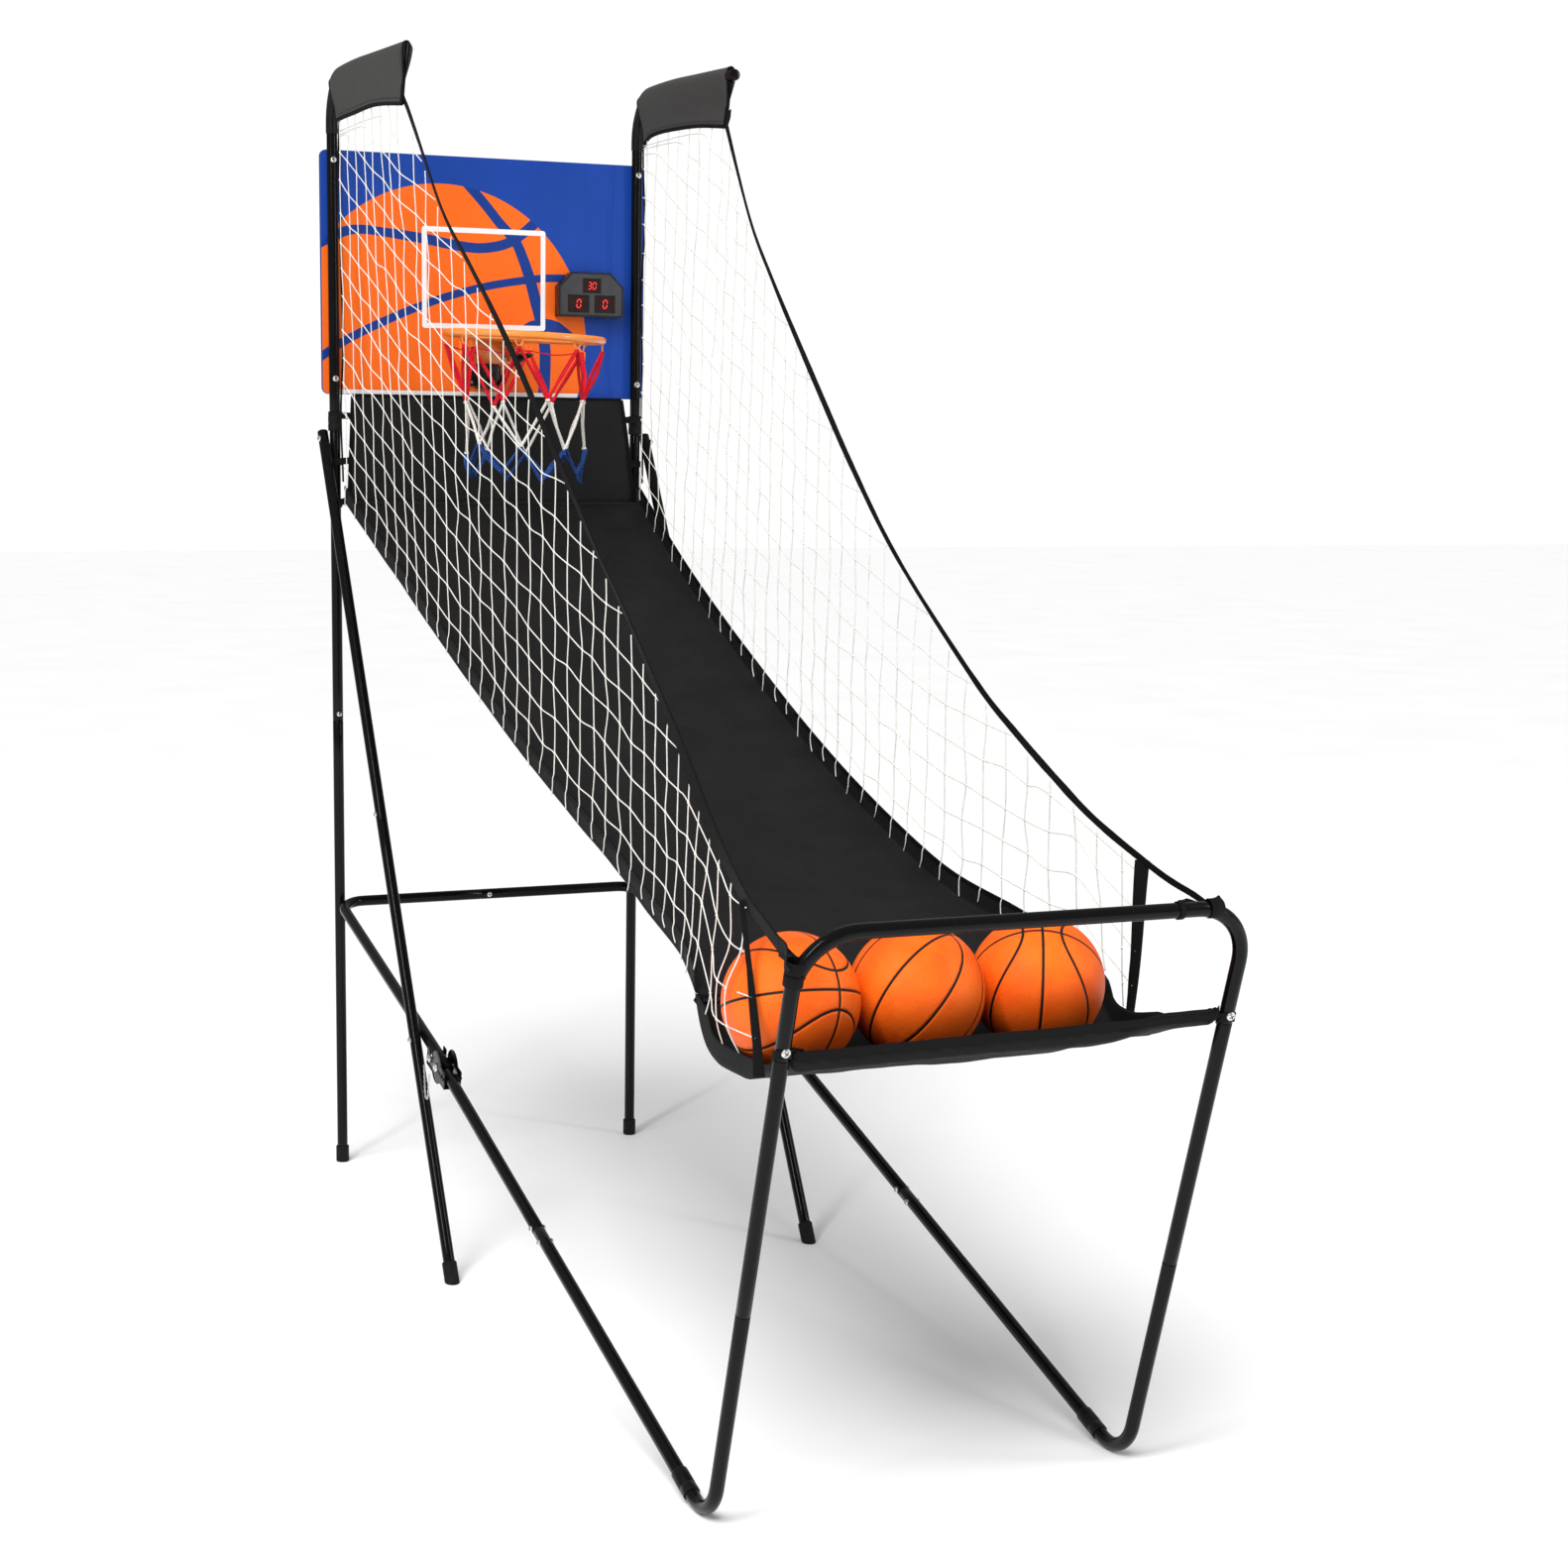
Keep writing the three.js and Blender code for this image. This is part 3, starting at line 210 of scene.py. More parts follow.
class Builder:
    """Gathers many small closed parts into one mesh."""

    def __init__(self):
        self.vertices, self.faces, self.uvs = [], [], []

    def skin(self, rings, uvs=None, closed=False, caps=True):
        """Faces over rings with equal point counts."""
        base, size = len(self.vertices), len(rings[0])
        for ring, row in zip(rings, uvs or [[(0, 0)] * size] * len(rings)):
            self.vertices += ring
            self.uvs += row
        count = len(rings) if closed else len(rings) - 1
        for i in range(count):
            a, b = base + i * size, base + ((i + 1) % len(rings)) * size
            for k in range(size):
                n = (k + 1) % size
                self.faces.append((a + k, a + n, b + n, b + k))
        if caps and not closed:
            self.faces.append(tuple(reversed(range(base, base + size))))
            last = base + (len(rings) - 1) * size
            self.faces.append(tuple(range(last, last + size)))

    def tube(self, points, radius, sides=8, closed=False):
        """A round tube along points. radius is a number, or one number for each point."""
        radii = [radius] * len(points) if isinstance(radius, (int, float)) else radius
        rings, uvs, run = [], [], 0.0
        for i, (_, normal, binormal) in enumerate(frames_along(points, closed)):
            run += (points[i] - points[i - 1]).length if i else 0
            angles = [2 * math.pi * k / sides for k in range(sides)]
            rings.append([points[i] + (normal * math.cos(a) + binormal * math.sin(a)) * radii[i]
                          for a in angles])
            uvs.append([(k / sides, run) for k in range(sides)])
        self.skin(rings, uvs, closed)

    def ribbon(self, points, width, thickness, across):
        """A flat strap with rounded edges. across(i, tangent) gives the direction of its width."""
        rings, uvs, run = [], [], 0.0
        widths = [width] * len(points) if isinstance(width, (int, float)) else width
        outline = [(-1, -0.45), (-0.94, -1), (-0.5, -1), (0, -1), (0.5, -1), (0.94, -1),
                   (1, -0.45), (1, 0.45), (0.94, 1), (0.5, 1), (0, 1), (-0.5, 1), (-0.94, 1), (-1, 0.45)]
        for i, (tangent, _, _) in enumerate(frames_along(points)):
            run += (points[i] - points[i - 1]).length if i else 0
            side = across(i, tangent)
            side = (side - tangent * side.dot(tangent)).normalized()
            up = tangent.cross(side)
            rings.append([points[i] + side * (u * widths[i] / 2) + up * (v * thickness / 2)
                          for u, v in outline])
            uvs.append([((u + 1) * widths[i] / 2, run) for u, v in outline])
        self.skin(rings, uvs)

    def lathe(self, profile, origin, direction, sides=24):
        """profile is (radius, height) pairs in mm from the foot to the top, with heights along direction."""
        turn = Vector((0, 0, 1)).rotation_difference(Vector(direction).normalized())
        rings, uvs = [], []
        for radius, height in profile:
            angles = [2 * math.pi * k / sides for k in range(sides)]
            ring = [Vector((radius * math.cos(a), radius * math.sin(a), height)) / 1000 for a in angles]
            rings.append([origin + turn @ p for p in ring])
            uvs.append([(k / sides, height / 1000) for k in range(sides)])
        self.skin(rings, uvs)

    def bar(self, centre, u, v, n):
        """A box from its centre and three half-length vectors."""
        rings = [[centre + u * a + v * b + n * c for a, b in ((-1, -1), (1, -1), (1, 1), (-1, 1))]
                 for c in (-1, 1)]
        self.skin(rings, [[(0, 0), (0.4, 0), (0.4, 0.4), (0, 0.4)]] * 2)

    def block(self, low, high, bevel=0.5):
        """A box between two drawing corners in mm, with bevelled edges."""
        (x0, y0, z0), (x1, y1, z1) = low, high

        def ring(z, inset):
            b = bevel
            xs, xe, ys, ye = x0 + inset, x1 - inset, y0 + inset, y1 - inset
            return [place(x, y, z) for x, y in (
                (xs + b, ys), (xe - b, ys), (xe, ys + b), (xe, ye - b),
                (xe - b, ye), (xs + b, ye), (xs, ye - b), (xs, ys + b))]
        rings = [ring(z0, bevel), ring(z0 + bevel, 0), ring(z1 - bevel, 0), ring(z1, bevel)]
        self.skin(rings)

    def make(self, name, material, sharp=None):
        return tidy_normals(add_mesh(name, self.vertices, self.faces, material, self.uvs), sharp)

    def piece(self, name, material, sharp, body, slot, *nodes):
        """The gathered parts as one finished piece on a body."""
        return finish_piece(self.make(name, material, sharp), body, slot, *nodes)


def sheet_mesh(name, grid, thickness, material):
    """A closed sheet of cloth around a grid of middle points, with uvs in metres."""
    rows, columns = len(grid), len(grid[0])
    normals, us, vs = {}, {}, {}
    cells = [(i, j) for i in range(rows) for j in range(columns)]
    for i, j in cells:
        along_row = grid[i][min(j + 1, columns - 1)] - grid[i][max(j - 1, 0)]
        along_column = grid[min(i + 1, rows - 1)][j] - grid[max(i - 1, 0)][j]
        normals[i, j] = along_row.cross(along_column).normalized()
        us[i, j] = us[i, j - 1] + (grid[i][j] - grid[i][j - 1]).length if j else 0
        vs[i, j] = vs[i - 1, j] + (grid[i][j] - grid[i - 1][j]).length if i else 0
    vertices = [grid[i][j] + normals[i, j] * side * thickness for side in (0.5, -0.5) for i, j in cells]
    uvs = [(us[cell] + 2, vs[cell]) for cell in cells] * 2
    back = rows * columns
    at = lambda i, j: i * columns + j
    faces = []
    for i in range(rows - 1):
        for j in range(columns - 1):
            quad = (at(i, j), at(i, j + 1), at(i + 1, j + 1), at(i + 1, j))
            faces += [quad, tuple(back + k for k in reversed(quad))]
    rim = [at(0, j) for j in range(columns)] + [at(i, columns - 1) for i in range(1, rows)]
    rim += [at(rows - 1, j) for j in range(columns - 2, -1, -1)] + [at(i, 0) for i in range(rows - 2, 0, -1)]
    for a, b in zip(rim, rim[1:] + rim[:1]):
        faces.append((b, a, back + a, back + b))
    return tidy_normals(add_mesh(name, vertices, faces, material, uvs))


def from_cad(node, material, body, slot, bevel=0.4, sharp=30):
    """A piece with the CAD node's own shape, merged into clean faces, with bevelled edges."""
    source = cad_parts[node]
    bm = bmesh.new()
    bm.from_mesh(source.data)
    bmesh.ops.remove_doubles(bm, verts=bm.verts, dist=1e-6)
    bmesh.ops.dissolve_limit(bm, angle_limit=math.radians(1), verts=bm.verts, edges=bm.edges)
    edges = [e for e in bm.edges if len(e.link_faces) == 2 and e.calc_face_angle(0) > math.radians(sharp)]
    if bevel:
        bmesh.ops.bevel(bm, geom=edges, offset=bevel / 1000, segments=2, profile=0.5, affect="EDGES",
                        clamp_overlap=True)
    bmesh.ops.triangulate(bm, faces=[f for f in bm.faces if len(f.verts) > 4])
    for edge in bm.edges:
        edge.smooth = edge.calc_face_angle(0) < math.radians(40)
    mesh = bpy.data.meshes.new(node + "_looks")
    bm.to_mesh(mesh)
    bm.free()
    for polygon in mesh.polygons:
        polygon.use_smooth = True
    mesh.materials.clear()
    mesh.materials.append(material)
    obj = bpy.data.objects.new(node + "_looks", mesh)
    bpy.context.scene.collection.objects.link(obj)
    return finish_piece(obj, body, slot, node)


def finish_piece(obj, body, slot, *nodes):
    """The piece rides on a body and stands for CAD nodes, which it hides. slot is not used."""
    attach(obj, body)
    if nodes:
        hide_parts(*nodes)
    return obj


def across_joint(obj, slot, *nodes):
    """Cloth or net from the rear frame to the front frame, baked into the row frame on no body."""
    if nodes:
        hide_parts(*nodes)
    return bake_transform(obj)


def filleted(corners, radius, steps=14, spacing=0.06):
    """A polyline whose inner corners are rounded to a radius, with points along its straight runs."""
    points = [corners[0]]
    for before, corner, after in zip(corners, corners[1:], corners[2:]):
        arriving, leaving = (corner - before).normalized(), (after - corner).normalized()
        turn = arriving.angle(leaving)
        if turn < 1e-4:
            continue
        start = corner - arriving * (radius * math.tan(turn / 2))
        axis = arriving.cross(leaving).normalized()
        centre = start + axis.cross(arriving) * radius
        for k in range(steps + 1):
            points.append(centre + Quaternion(axis, turn * k / steps) @ (start - centre))
    points.append(corners[-1])
    dense = [points[0]]
    for a, b in zip(points, points[1:]):
        parts = max(1, round((b - a).length / spacing))
        dense += [a.lerp(b, (k + 1) / parts) for k in range(parts)]
    return dense


def spline(points, steps=8):
    """A smooth curve through points (Catmull-Rom)."""
    result = []
    last = len(points) - 1
    for i in range(last):
        p0, p1, p2, p3 = points[max(0, i - 1)], points[i], points[i + 1], points[min(last, i + 2)]
        for k in range(steps):
            t = k / steps
            result.append(0.5 * (2 * p1 + (p2 - p0) * t + (2 * p0 - 5 * p1 + 4 * p2 - p3) * t * t
                                 + (3 * p1 - p0 - 3 * p2 + p3) * t ** 3))
    result.append(points[-1].copy())
    return result


def smooth_rows(table, steps=6):
    """A table's rows joined by a smooth curve."""
    return [tuple(p) for p in spline([Vector(row) for row in table], steps)]


def along(table, y, column):
    """Reads a table whose rows start with a falling y."""
    for row, following in zip(table, table[1:]):
        if y >= following[0] or following is table[-1]:
            t = min(1.0, max(0.0, (row[0] - y) / max(1e-9, row[0] - following[0])))
            return row[column] + (following[column] - row[column]) * t


def lerp(a, b, t):
    return a + (b - a) * t


def smooth_step(t):
    """0 below 0, 1 above 1, and a smooth rise between."""
    t = min(1.0, max(0.0, t))
    return t * t * (3 - 2 * t)


# ------------------------------------------------------------------ materials


class Nodes:
    """Short calls for building a material's nodes."""

    def __init__(self, name):
        self.material = bpy.data.materials.new(name)
        self.material.use_nodes = True
        self.tree = self.material.node_tree
        self.bsdf = self.tree.nodes["Principled BSDF"]

    def link(self, value, socket):
        if isinstance(value, (int, float)):
            socket.default_value = value
        elif isinstance(value, (tuple, list)):
            opaque = len(value) == 3 and len(socket.default_value) == 4
            socket.default_value = (*value, 1.0) if opaque else value
        elif value is not None:
            self.tree.links.new(value, socket)

    def coords(self, kind="Object"):
        return self.tree.nodes.new("ShaderNodeTexCoord").outputs[kind]

    def noise(self, scale, detail=3.0, rough=0.5, vector=None):
        node = self.tree.nodes.new("ShaderNodeTexNoise")
        node.inputs["Scale"].default_value = scale
        node.inputs["Detail"].default_value = detail
        node.inputs["Roughness"].default_value = rough
        self.link(vector or self.coords(), node.inputs["Vector"])
        return node.outputs["Fac"]

    def cells(self, scale, vector=None):
        node = self.tree.nodes.new("ShaderNodeTexVoronoi")
        node.inputs["Scale"].default_value = scale
        self.link(vector or self.coords(), node.inputs["Vector"])
        return node.outputs["Distance"]

    def math(self, operation, a, b=None):
        node = self.tree.nodes.new("ShaderNodeMath")
        node.operation = operation
        self.link(a, node.inputs[0])
        self.link(b, node.inputs[1])
        return node.outputs[0]

    def xyz(self, vector):
        node = self.tree.nodes.new("ShaderNodeSeparateXYZ")
        self.link(vector, node.inputs[0])
        return node.outputs

    def between(self, value, low, high, to_low=0.0, to_high=1.0):
        node = self.tree.nodes.new("ShaderNodeMapRange")
        for socket, number in zip(node.inputs, (value, low, high, to_low, to_high)):
            self.link(number, socket)
        return node.outputs[0]

    def mix(self, factor, a, b):
        node = self.tree.nodes.new("ShaderNodeMix")
        node.data_type = "RGBA"
        for socket, value in ((node.inputs[0], factor), (node.inputs[6], a), (node.inputs[7], b)):
            self.link(value, socket)
        return node.outputs[2]

    def bump(self, height, strength=0.5, distance=0.001, under=None):
        node = self.tree.nodes.new("ShaderNodeBump")
        node.inputs["Strength"].default_value = strength
        node.inputs["Distance"].default_value = distance
        self.link(height, node.inputs["Height"])
        if under is not None:
            self.link(under, node.inputs["Normal"])
        return node.outputs[0]

    def done(self, colour, rough, normal=None, **sockets):
        self.link(colour, self.bsdf.inputs["Base Color"])
        self.link(rough, self.bsdf.inputs["Roughness"])
        if normal is not None:
            self.link(normal, self.bsdf.inputs["Normal"])
        for key, value in sockets.items():
            self.link(value, self.bsdf.inputs[key.replace("_", " ")])
        return self.material

    def stripes(self, coordinate, pitch):
        """A wave of this pitch along a coordinate, from 0 to 1."""
        wave = self.math("SINE", self.math("MULTIPLY", coordinate, 2 * math.pi / pitch))
        return self.math("MULTIPLY_ADD", wave, 0.5)


def enamel():
    n = Nodes("black_enamel")
    specks = n.between(n.noise(160, 2, 0.6), 0.62, 0.8)
    return n.done(n.mix(specks, (0.0025, 0.0025, 0.0028), (0.006, 0.006, 0.0065)),
                  n.between(n.noise(9, 5, 0.6), 0.35, 0.7, 0.13, 0.24),
                  n.bump(n.noise(420, 2), 0.05, 0.0003), Specular_IOR_Level=0.17)


def rubber(name, base, low=0.55, high=0.8, grain=900):
    n = Nodes(name)
    dust = n.noise(45, 4, 0.6)
    return n.done(n.mix(n.between(dust, 0.5, 0.8), (base,) * 3, (base * 2.2,) * 3),
                  n.between(dust, 0.3, 0.8, low, high), n.bump(n.noise(grain, 2), 0.2, 0.0003),
                  Specular_IOR_Level=0.18)


def metal(name, dark, light, low=0.2, high=0.42):
    n = Nodes(name)
    return n.done(n.mix(n.noise(120, 4, 0.6), dark, light), n.between(n.noise(300, 3), 0.3, 0.7, low, high),
                  n.bump(n.noise(700, 2), 0.1, 0.0002), Metallic=1.0)


def woven(name, dark, light, pitch=0.0011, rough=(0.62, 0.8), gloss=0.12, wrinkle=0.4):
    """Plain weave from its uvs in metres, with a slow change of colour and soft creases."""
    n = Nodes(name)
    u, v, _ = n.xyz(n.coords("UV"))
    warp, weft = n.stripes(u, pitch), n.stripes(v, pitch)
    weave = n.math("ADD", n.math("MULTIPLY", warp, n.math("SUBTRACT", 1.0, weft)),
                   n.math("MULTIPLY", weft, n.math("SUBTRACT", 1.0, warp)))
    clouds = n.noise(14, 5, 0.6)
    # Darker where the weave is low: painted shade between the threads. The clouds add a slow random change of
    # colour.
    tone = n.math("MULTIPLY", n.between(clouds, 0.3, 0.75), n.between(weave, 0, 1, 0.55, 1))
    colour = n.mix(tone, dark, light)
    creases = n.bump(n.noise(26, 3, 0.55), wrinkle, 0.0025)
    return n.done(colour, n.between(clouds, 0.3, 0.7, *rough), n.bump(weave, 0.35, 0.0003, creases),
                  Specular_IOR_Level=gloss)


def webbing_cloth(name, dark, light, rib=0.0016):
    """Ribbed webbing. u runs across the strap and v along it, in metres."""
    n = Nodes(name)
    u, v, _ = n.xyz(n.coords("UV"))
    ribs = n.stripes(v, rib)
    cords = n.stripes(u, rib * 1.4)
    relief = n.math("MULTIPLY", ribs, n.between(cords, 0, 1, 0.5, 1))
    fuzz = n.noise(600, 3, 0.7)
    # The colour darkens with the ribs' relief: painted shade in the grooves, with random fuzz on top.
    return n.done(n.mix(n.math("MULTIPLY", relief, fuzz), dark, light), n.between(fuzz, 0.3, 0.7, 0.6, 0.85),
                  n.bump(relief, 0.5, 0.0004), Specular_IOR_Level=0.15)


def cord_fibre(name, dark, light, strands=3, pitch=0.006, depth=0.7):
    """Twisted or braided cord. u runs once around it and v along it, in metres."""
    n = Nodes(name)
    u, v, _ = n.xyz(n.coords("UV"))
    turn = n.math("MULTIPLY", u, 2 * math.pi * strands)
    run = n.math("MULTIPLY", v, 2 * math.pi / pitch)
    one = n.math("MULTIPLY_ADD", n.math("SINE", n.math("ADD", turn, run)), 0.5)
    other = n.math("MULTIPLY_ADD", n.math("SINE", n.math("SUBTRACT", turn, run)), 0.5)
    for node in (one.node, other.node):
        node.inputs[2].default_value = 0.5
    lay = n.math("MAXIMUM", one, other)
    dirt = n.noise(70, 4, 0.7)
    # Darker from the strands' crests into the grooves between them: painted shade. The dirt noise darkens
    # random patches.
    tone = n.math("MULTIPLY", n.between(lay, 0.3, 1), n.between(dirt, 0.25, 0.6))
    return n.done(n.mix(tone, dark, light), 0.8, n.bump(lay, depth, 0.0004), Specular_IOR_Level=0.25)


def printed(name, colour, shade):
    """One colour of the backboard's print, under a satin laminate."""
    n = Nodes(name)
    dots = n.between(n.cells(900), 0.1, 0.7)
    tone = n.math("MULTIPLY", n.between(n.noise(6, 4), 0.3, 0.7), n.between(dots, 0, 1, 0.7, 1))
    return n.done(n.mix(tone, shade, colour), n.between(n.noise(30, 4), 0.3, 0.7, 0.38, 0.5),
                  n.bump(n.noise(240, 3), 0.06, 0.0004), Specular_IOR_Level=0.2)


def plastic(name, base, low, high, grain=0.12):
    n = Nodes(name)
    marks = n.noise(24, 5, 0.65)
    return n.done(n.mix(n.between(marks, 0.4, 0.8), base, tuple(c * 1.5 for c in base)),
                  n.between(marks, 0.3, 0.7, low, high), n.bump(n.noise(1100, 2), grain, 0.0002),
                  Specular_IOR_Level=0.35)


def rim_enamel():
    n = Nodes("rim_enamel")
    tone = n.noise(12, 4, 0.6)
    return n.done(n.mix(n.between(tone, 0.3, 0.7), (0.86, 0.215, 0.028), (0.93, 0.29, 0.05)),
                  n.between(tone, 0.3, 0.7, 0.22, 0.34), n.bump(n.noise(260, 2), 0.08, 0.0004),
                  Coat_Weight=0.3)


def ball_cover():
    """Pebbled rubber with four recessed channels, from the ball's own coordinates."""
    n = Nodes("ball_cover")
    coords = n.coords()
    x, _, z = n.xyz(coords)
    radius = BALL_R / 1000
    z2 = n.math("MULTIPLY", n.math("MULTIPLY", z, z), SEAM_BOW / radius)
    side = n.math("SUBTRACT", n.math("SUBTRACT", n.math("ABSOLUTE", x), SEAM_GAP * radius), z2)
    rate = n.math("MULTIPLY", n.math("MULTIPLY", z, z), 4 * SEAM_BOW ** 2 / radius ** 2)
    slope = n.math("SQRT", n.math("ADD", rate, 1.0))
    bow = n.math("DIVIDE", n.math("ABSOLUTE", side), slope)
    channel = n.math("MINIMUM", n.math("MINIMUM", n.math("ABSOLUTE", x), n.math("ABSOLUTE", z)), bow)
    ink = n.between(channel, 0.0015, 0.0020, 1, 0)
    groove = n.between(channel, 0.0, 0.0034, 0, 1)
    pebbles = n.between(n.cells(520, coords), 0.0, 0.62, 1, 0)
    raised = n.math("MULTIPLY", pebbles, n.between(channel, 0.0022, 0.0034))
    # Darker between the pebbles: painted shade in their gaps, on top of a random change of tone.
    tone = n.math("MULTIPLY", n.between(n.noise(18, 4, 0.6, coords), 0.3, 0.7),
                  n.between(pebbles, 0, 1, 0.75, 1))
    skin = n.mix(tone, (0.84, 0.100, 0.006), (0.97, 0.170, 0.011))
    normal = n.bump(raised, 0.42, 0.0006, n.bump(groove, 0.8, 0.0012))
    return n.done(n.mix(ink, skin, (0.012, 0.009, 0.008)), n.between(pebbles, 0, 1, 0.5, 0.42), normal,
                  Specular_IOR_Level=0.25)


ENAMEL = enamel()
RUBBER = rubber("foot_rubber_black", 0.005)
SLEEVE = rubber("coupling_black", 0.004, 0.28, 0.42, 500)
ZINC = metal("zinc_plate", (0.56, 0.57, 0.55), (0.84, 0.85, 0.82))
# Dark metal for the screws' cross holes: painted shade where the holes would lie in shadow.
RECESS_SHADE = metal("zinc_recess_painted_shade", (0.03, 0.03, 0.03), (0.08, 0.08, 0.08), 0.5, 0.7)
LANE = woven("lane_polyester", (0.009, 0.009, 0.0092), (0.0155, 0.0155, 0.0157))
FLAG = woven("flag_nylon", (0.047, 0.047, 0.045), (0.058, 0.058, 0.055), 0.0009, (0.5, 0.66), 0.12, 0.2)
BINDING = webbing_cloth("binding_tape", (0.002, 0.002, 0.002), (0.007, 0.007, 0.007), 0.0011)
WEBBING = webbing_cloth("black_webbing", (0.003, 0.003, 0.0032), (0.011, 0.011, 0.0115))
THREAD = cord_fibre("stitch_thread", (0.008, 0.008, 0.008), (0.035, 0.035, 0.035), 2, 0.002)
NET_CORD = cord_fibre("net_cord", (0.60, 0.58, 0.53), (0.88, 0.87, 0.83), 2, 0.005)
RED_CORD = cord_fibre("red_cord", (0.42, 0.006, 0.014), (0.78, 0.012, 0.03), 3, 0.008)
WHITE_CORD = cord_fibre("white_cord", (0.50, 0.48, 0.44), (0.80, 0.78, 0.73), 3, 0.008)
BLUE_CORD = cord_fibre("blue_cord", (0.006, 0.026, 0.12), (0.02, 0.075, 0.28), 3, 0.008)
BOARD_BLUE = printed("print_blue", (0.010, 0.056, 0.34), (0.008, 0.048, 0.29))
SEAM_BLUE = printed("print_seam_blue", (0.009, 0.043, 0.25), (0.007, 0.036, 0.21))
BOARD_ORANGE = printed("print_orange", (0.90, 0.150, 0.012), (0.83, 0.132, 0.010))
BOARD_WHITE = printed("print_white", (0.86, 0.86, 0.86), (0.78, 0.78, 0.79))
BOARD_EDGE = plastic("board_edge", (0.010, 0.035, 0.19), 0.4, 0.55)
RIM_PAINT = rim_enamel()
PLASTIC = plastic("black_gloss_plastic", (0.008, 0.008, 0.0085), 0.22, 0.36, 0.05)
FACE = plastic("score_face_satin", (0.036, 0.037, 0.040), 0.45, 0.6)
BALL = ball_cover()


def board_back():
    n = Nodes("board_back_fibre")
    fibre = n.noise(300, 6, 0.75)
    return n.done(n.mix(fibre, (0.16, 0.10, 0.055), (0.36, 0.25, 0.15)), n.between(fibre, 0.3, 0.7, 0.6, 0.8),
                  n.bump(fibre, 0.3, 0.0004))


def window_glass():
    n = Nodes("score_window")
    return n.done(n.mix(n.noise(80, 3), (0.012, 0.003, 0.003), (0.028, 0.006, 0.006)),
                  n.between(n.noise(20, 3), 0.3, 0.7, 0.08, 0.16))


def lit_segment():
    n = Nodes("score_segment")
    glow = n.mix(n.noise(900, 2), (0.75, 0.01, 0.012), (1.0, 0.05, 0.04))
    n.link(glow, n.bsdf.inputs["Emission Color"])
    return n.done(glow, n.between(n.noise(400, 2), 0.3, 0.7, 0.3, 0.4), Emission_Strength=1.3)


# ------------------------------------------------------------------ cords: the locking pins' chains


def chain(builder, route, wire=0.00062, half_length=0.0027, half_width=0.0017):
    """Oval links along a route, each turned a quarter from the one before."""
    dense = filleted(route, 0.006, 8, 0.0008)
    lengths = [0.0]
    for a, b in zip(dense, dense[1:]):
        lengths.append(lengths[-1] + (b - a).length)
    pitch = 2 * (half_length - wire) - 0.0001
    count = int(lengths[-1] / pitch)
    frames = frames_along(dense)
    for i in range(count):
        target = (i + 0.5) * lengths[-1] / count
        k = min(range(len(dense)), key=lambda m: abs(lengths[m] - target))
        tangent, normal, binormal = frames[k]
        side = normal if i % 2 else binormal
        oval = []
        for step in range(14):
            angle = 2 * math.pi * step / 14
            straight = (half_length - half_width) * (1 if math.cos(angle) > 0 else -1)
            reach = straight + (half_width - wire) * math.cos(angle)
            oval.append(dense[k] + tangent * reach + side * ((half_width - wire) * math.sin(angle)))
        builder.tube(oval, wire, 6, closed=True)
    return dense


def pin_chains():
    for label, sign in SIDES:
        builder = Builder()
        route = [place(sign * 322, y, z) for y, z in PIN_CHAIN]
        path = chain(builder, route)
        obj = builder.make(f"pin_chain_{label}_links", ZINC)
        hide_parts(f"pin_chain_{label}")
        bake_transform(obj)


pin_chains()

# ------------------------------------------------------------------ frame tubes


def rimmed(points, radius, lip=0.0008):
    """Points and radii of a tube whose end edges are rounded."""
    first, last = (points[1] - points[0]).normalized(), (points[-1] - points[-2]).normalized()
    line = [points[0], points[0] + first * lip * 0.3, points[0] + first * lip, *points[1:-1],
            points[-1] - last * lip, points[-1] - last * lip * 0.3, points[-1]]
    radii = [radius - lip, radius - 0.3 * lip, radius, *[radius] * (len(points) - 2), radius,
             radius - 0.3 * lip, radius - lip]
    return line, radii


def frame_tube(name, body, corners, bend=60, radius=TUBE_R, material=None, slot="frame_tube", sides=32,
               replaced=True):
    builder = Builder()
    points = filleted([place(*c) for c in corners], bend / 1000)
    line, radii = rimmed(points, radius / 1000)
    builder.tube(line, radii, sides)
    obj = builder.make(name + "_tube", material or ENAMEL, 50)
    return finish_piece(obj, body, slot, *([name] if replaced else []))


def brace_at(sign, z):
    t = z / BRACE_TOP[2]
    return (sign * lerp(BRACE_FOOT[0], BRACE_TOP[0], t), lerp(BRACE_FOOT[1], BRACE_TOP[1], t), z)


def foot_cap(name, foot, axis):
    """A rubber cap whose foot is flat on the floor and whose mouth is square to the tube."""
    builder, sides = Builder(), 32
    start, axis = place(*foot), axis.normalized()
    rings, uvs = [], []
    profile = [(0, 10.4), (0.5, 11.4), (1.6, 12), (8, 12), (9, 11.7), (10, 12), (26, 12), (28.4, 12),
               (29.4, 11.5), (30, 10.4), (30, 9.3)]
    for height, radius in profile:
        centre = start + axis * (height / axis.z / 1000)
        ring = []
        for k in range(sides):
            angle = 2 * math.pi * k / sides
            spoke = Vector((math.cos(angle), math.sin(angle), 0)) * radius / 1000
            lean = Vector((axis.x, axis.y, 0))
            if lean.length > 1e-4:
                lean.normalize()
                spoke += lean * spoke.dot(lean) * (1 / axis.z - 1)
            square = spoke - axis * spoke.dot(axis)
            ring.append(centre + spoke.lerp(square, min(1, height / 30)))
        rings.append(ring)
        uvs.append([(k / sides, height / 1000) for k in range(sides)])
    builder.skin(rings, uvs)
    return builder.make(name + "_rubber", RUBBER, 50)


